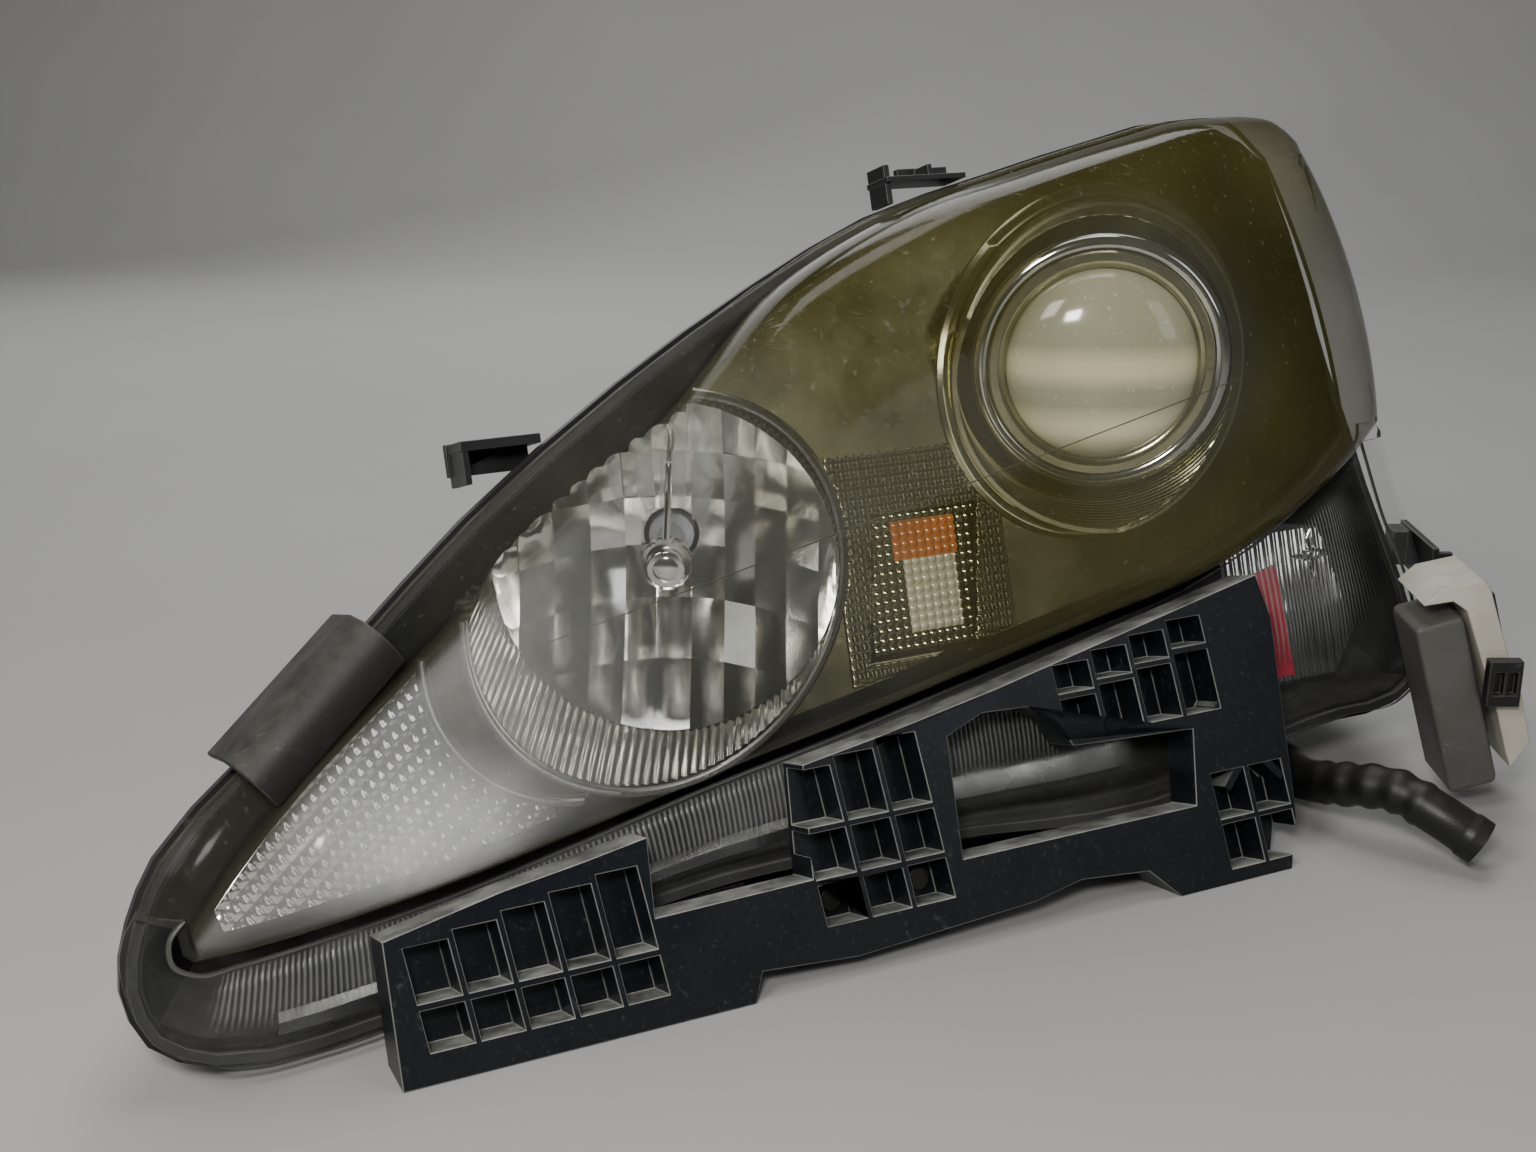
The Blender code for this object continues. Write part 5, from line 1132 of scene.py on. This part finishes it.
def add_lamp_inside():
    foot = bowl_area()
    add_high_bowl()
    add_side_bowl()
    add_tip_reflector()
    add_turn_optic()
    chrome = MATS["chrome"]
    lip("high_beam_lip", HIGH, HIGH_RADIUS)
    lip("side_bowl_lip", SIDE_BOWL, SIDE_BOWL_RADIUS, ribs=22, deep=0.0022,
        spare=(HIGH, HIGH_RADIUS + 0.0020))
    section = ((0.0002, -0.0015), (0.0002, 0.0012), (0.0010, 0.0020), (0.0026, 0.0018), (0.0036, 0.0006),
               (0.0036, -0.0015))
    rim_ring("high_beam_rim", HIGH, HIGH_RADIUS, foot, MATS["rail"], section)
    rim_ring("side_bowl_rim", SIDE_BOWL, SIDE_BOWL_RADIUS, foot, MATS["rail"], section,
             spare=(HIGH, HIGH_RADIUS + 0.0036))
    ring = ((0.0018, -0.0015), (0.0018, 0.0014), (0.0026, 0.0024), (0.0052, 0.0024), (0.0072, 0.0008),
            (0.0072, -0.0010))
    rim_ring("shroud_rim", LOW, SHROUD_RADIUS, foot, MATS["cup"], ring)
    for node in ("high_beam_reflector", "side_reflector_bowl"):
        refined(node, chrome, 0.0, trim=-0.0100)
    refined("turn_reflector", MATS["optic"], 0.0, trim=-0.0115)
    refined("tip_reflector", chrome, 0.3 * MM)
    add_signal_surround()
    refined("inner_bezel", MATS["bezel"], 0.5 * MM)


# ---------------------------------------------------------------- projector

def add_projector():
    body = "low_beam_unit"
    glass = []
    for k in range(25):
        angle = math.radians(90.0 * k / 24)
        glass.append((LENS_RADIUS * math.sin(angle), 0.004 + 0.0145 * math.cos(angle)))
    glass += [(LENS_RADIUS, 0.0), (0.0, 0.0)]
    lathe("projector_lens_look", glass, LOW + Vector((0.0, 0.0070, 0.0)), body,
          MATS["projector"], ("projector_lens",), closed=False)
    holder = [(45.0, -0.6), (44.4, 0.0), (41.5, 0.0), (41.0, -0.8), (39.6, -1.0), (38.4, -1.8),
              (38.4, -6.4), (35.1, -6.6), (35.1, -27.4), (45.0, -27.4)]
    lathe("lens_holder_look", profile_mm(holder), LOW + Vector((0.0, 0.0025, 0.0)),
          body, MATS["cup"], ("lens_holder",))
    ring = [(47.2, 3.0), (47.8, 3.7), (49.0, 3.6), (50.6, 2.6), (51.4, 0.8), (51.5, -1.0), (51.5, -11.4),
            (50.8, -12.0), (45.6, -12.0), (45.6, 2.4), (46.4, 2.9)]
    lathe("projector_ring_look", profile_mm(ring), LOW + Vector((0.0, 0.0065, 0.0)),
          body, MATS["chrome"], ("projector_ring",), sides=128)
    outer = SHROUD_RADIUS + 0.0018
    cup = [(outer, 0.060), (outer, -0.0036), (SHROUD_RADIUS - 0.0036, -0.0036)]
    steps = 15
    for k in range(steps):
        height = 0.010 + 0.048 * k / steps
        radius = SHROUD_RADIUS - 0.0036 + 0.0036 * k / steps
        cup += [(radius, height), (radius, height + 0.0022), (radius + 0.0009, height + 0.0030)]
    cup.append((SHROUD_RADIUS, 0.060))
    lathe("projector_shroud_look", cup, LOW + Vector((0.0, 0.0360, 0.0)), "lamp_body",
          MATS["cup"], ("projector_shroud",), sides=160, trim=0.0060, smooth=20.0)
    refined("projector_reflector", MATS["cast_bowl"], 0.4 * MM)
    for node in ("cutoff_shade", "pan_pin_upper", "pan_pin_lower", "tilt_pin_inboard", "tilt_pin_outboard"):
        refined(node, MATS["steel"], 0.3 * MM)
    refined("discharge_bulb", MATS["glass"], 0.3 * MM)
    refined("bulb_igniter", MATS["black"], 0.4 * MM)


def add_high_bulb():
    refined("high_beam_bulb", MATS["glass"], 0.3 * MM)
    cup = [(0.0, 50.0), (3.0, 49.8), (6.0, 49.0), (8.2, 47.0), (9.3, 44.5), (9.5, 37.2), (9.0, 36.9),
           (8.2, 37.0), (8.2, 42.6), (6.4, 45.6), (0.0, 46.8)]
    lathe("bulb_shield_look", profile_mm(cup), HIGH, "lamp_body",
          MATS["chrome"], sides=64, closed=False)
    refined("bulb_shield", MATS["chrome"], 0.2 * MM)


# ---------------------------------------------------------------- bracket, boot, fittings

def add_bracket():
    refined("bumper_bracket", MATS["bracket"], 0.9 * MM)
    bm = bmesh.new()
    left, right = 0.1475, 0.1745
    for low_v, high_v in ((-0.0720, -0.0420), (-0.1040, -0.0745)):
        for start, end in (((left, low_v), (right, high_v)), ((left, high_v), (right, low_v))):
            brace(bm, start, end)
    obj = mount("bracket_braces", bm, "lamp_body", MATS["bracket"], smooth=30.0)
    round_edges(obj, 0.5 * MM, mat=1)


def brace(bm, start, end):
    """Upright rib between two flat points, from the pocket floor to the bracket's front."""
    start = Vector(start)
    end = Vector(end)
    side = Vector((-(end - start).y, (end - start).x)).normalized() * 0.0011
    base = 0.0010
    top = 0.0146
    corners = [start - side, end - side, end + side, start + side]
    low = [bm.verts.new(at_lens(p.x, p.y, base)) for p in corners]
    high = [bm.verts.new(at_lens(p.x, p.y, top)) for p in corners]
    bm.faces.new(list(reversed(low)))
    bm.faces.new(high)
    skin(bm, [low, high], closed=True)


def add_boot():
    """Ribbed rubber elbow with thicker cuffs."""
    shift = LOW - Vector((0.1324, 0.2070, 0.1958))
    route = [Vector(p) + shift for p in (
        (0.2230, 0.2360, 0.0150), (0.2290, 0.2120, 0.0160), (0.2400, 0.1920, 0.0225),
        (0.2560, 0.1760, 0.0265), (0.2705, 0.1640, 0.0210), (0.2850, 0.1570, 0.0125),
    )]
    path = [glide(route, 5.0 * k / 60) for k in range(61)]

    def wide(share):
        cuff = 0.0007 if share < 0.08 or share > 0.93 else 0.0
        fold = 0.0006 * math.cos(share * 62.0) * (0.30 < share < 0.72)
        return 0.0090 + cuff + fold

    bm = bmesh.new()
    pipe(bm, path, wide, sides=28)
    bmesh.ops.recalc_face_normals(bm, faces=bm.faces)
    mount("rubber_boot_look", bm, "lamp_body", [MATS["rubber"][0]], ("rubber_boot",), 40.0)


REST = {
    "sealant": ("sealant", ("lens_sealant",)),
    "housing": ("housing_plastic", ("housing",)),
    "case": ("cast_case", ("ballast",)),
    "screw": ("steel_parts", ("ballast_screw_1", "ballast_screw_2", "bracket_screw_1", "bracket_screw_2")),
    "rubber": ("black_rubber", ("ballast_gasket", "high_beam_seal", "low_beam_seal")),
    "rail": ("metallised_reflector", ("trim_rail",)),
    "red": ("red_plastic", ("red_reflector",)),
    "amber": ("amber_glass", ("turn_bulb",)),
    "glass": ("bulb_glass", ("marker_bulb",)),
    "white": ("white_nylon", ("levelling_rod", "vertical_adjuster", "horizontal_adjuster")),
    "grey": ("grey_nylon", ("connector_body",)),
    "ivory": ("ivory_nylon", ("connector_lever",)),
    "black": ("black_plastic", (
        "aiming_frame", "connector_carrier", "connector_latch", "high_beam_cover", "levelling_motor",
        "low_beam_cover", "marker_socket", "pivot_post_inboard", "pivot_post_outboard", "side_stay",
        "top_clip", "turn_socket", "upper_tab", "vent_spigot",
    )),
}


def add_marker_reflector():
    """Chromed plate of the side marker: upright ribs and a four-pointed star in relief."""
    refined("marker_reflector", MATS["rail"], 0.2 * MM)
    bm = bmesh.new()
    star_u, star_v = 0.2560, -0.0220
    grid = []
    for i in range(121):
        u = 0.2080 + 0.0640 * i / 120
        row = []
        for j in range(121):
            v = -0.0760 + 0.0660 * j / 120
            across = abs(u - star_u)
            up = abs(v - star_v)
            arms = max(0.0, 1.0 - across / 0.0130 - up / 0.0028)
            arms += max(0.0, 1.0 - across / 0.0028 - up / 0.0130)
            rib = 0.0004 * abs(math.sin(math.pi * u / 0.0024))
            row.append(bm.verts.new(at_lens(u, v, -0.0472 + rib + 0.0030 * min(arms, 1.0))))
        grid.append(row)
    plate = in_metres(((207, -77), (261.5, -76), (275, -58), (261.5, -11), (240, -7.5), (207, -19)))

    def choose(centre):
        flat = to_lens(centre)
        return 0 if inside(plate, flat.x, flat.y) else None

    sift(bm, skin(bm, grid), choose)
    mount("marker_star", bm, "lamp_body", MATS["chrome"], smooth=30.0)


def add_inner_bracket():
    obj = refined("inner_bracket", MATS["scuffed"], 0.0, 80.0)
    round_edges(obj, 0.6 * MM, 60.0, 1)


def add_rest():
    add_marker_reflector()
    add_inner_bracket()
    for finish, (slot, nodes) in REST.items():
        for node in nodes:
            refined(node, MATS[finish])


# ---------------------------------------------------------------- stage

def pale(name, colour, scale):
    s = Shade(name)
    tone = s.spread(s.noise(scale, 4.0), 0.3, 0.7)
    base = s.blend(tone, colour, tuple(c * 0.93 for c in colour))
    return s.set(Base_Color=base, Roughness=0.75)


def add_stage():
    bm = bmesh.new()
    rows = []
    profile = [(-4.0, 0.0), (1.5, 0.0)]
    for k in range(13):
        angle = math.radians(90.0 * k / 12)
        profile.append((1.5 + 0.5 * math.sin(angle), 0.5 - 0.5 * math.cos(angle)))
    profile.append((2.0, 3.2))
    for x in (-4.5, 4.5):
        rows.append([bm.verts.new((x, y, z - 0.0002)) for y, z in profile])
    skin(bm, rows)
    mesh = bpy.data.meshes.new("studio_floor")
    bm.to_mesh(mesh)
    bm.free()
    floor = bpy.data.objects.new("studio_floor", mesh)
    bpy.context.scene.collection.objects.link(floor)
    mesh.materials.append(pale("pale_floor", (0.42, 0.415, 0.41), 3.0))
    mesh.shade_smooth()


# name, place, what it points at, size, power in watts, colour
LAMPS = (
    ("key", (-0.75, -0.95, 1.05), (0.0, 0.0, 0.12), (0.45, 0.45), 8.2, (1.0, 0.98, 0.95)),
    ("fill", (0.95, -0.70, 0.60), (0.0, 0.0, 0.12), (0.35, 0.60), 1.3, (0.95, 0.97, 1.0)),
    ("top", (0.0, 0.05, 1.30), (0.0, 0.0, 0.10), (0.7, 0.4), 3.6, (1.0, 1.0, 1.0)),
    ("back", (0.2, 1.20, 1.80), (0.0, 1.0, 0.0), (1.4, 0.9), 16.0, (1.0, 1.0, 1.0)),
    ("rear", (-0.55, 1.30, 0.75), (0.0, 0.1, 0.12), (1.3, 0.9), 5.0, (1.0, 1.0, 1.0)),
    ("front", (-0.13, -0.80, 0.55), (0.0, 0.0, 0.14), (0.16, 0.12), 4.6, (1.0, 0.98, 0.94)),
)


def add_lamp(name, place, aim, size, power, colour):
    data = bpy.data.lights.new(name, "AREA")
    data.shape = "RECTANGLE"
    data.size = size[0]
    data.size_y = size[1]
    data.energy = power
    data.color = colour
    lamp = bpy.data.objects.new(name, data)
    lamp.location = place
    lamp.rotation_euler = (Vector(aim) - Vector(place)).to_track_quat("-Z", "Y").to_euler()
    bpy.context.scene.collection.objects.link(lamp)


def add_light():
    world = bpy.data.worlds.new("studio")
    world.use_nodes = True
    world.node_tree.nodes["Background"].inputs["Color"].default_value = (0.80, 0.85, 0.92, 1.0)
    world.node_tree.nodes["Background"].inputs["Strength"].default_value = 0.05
    bpy.context.scene.world = world
    for lamp in LAMPS:
        add_lamp(*lamp)


def add_camera():
    data = bpy.data.cameras.new("camera")
    data.lens = 45.0
    data.sensor_width = 36.0
    camera = bpy.data.objects.new("camera", data)
    camera.location = (-0.0605, -0.7373, 0.35125)
    camera.rotation_euler = (math.radians(72.0), 0.0, 0.0)
    bpy.context.scene.collection.objects.link(camera)
    bpy.context.scene.camera = camera


# ---------------------------------------------------------------- assembly

add_outer_lens()
add_lens_line()
add_lower_lens()
add_lamp_inside()
add_projector()
add_high_bulb()
add_bracket()
add_boot()
add_rest()
add_stage()
add_light()
add_camera()
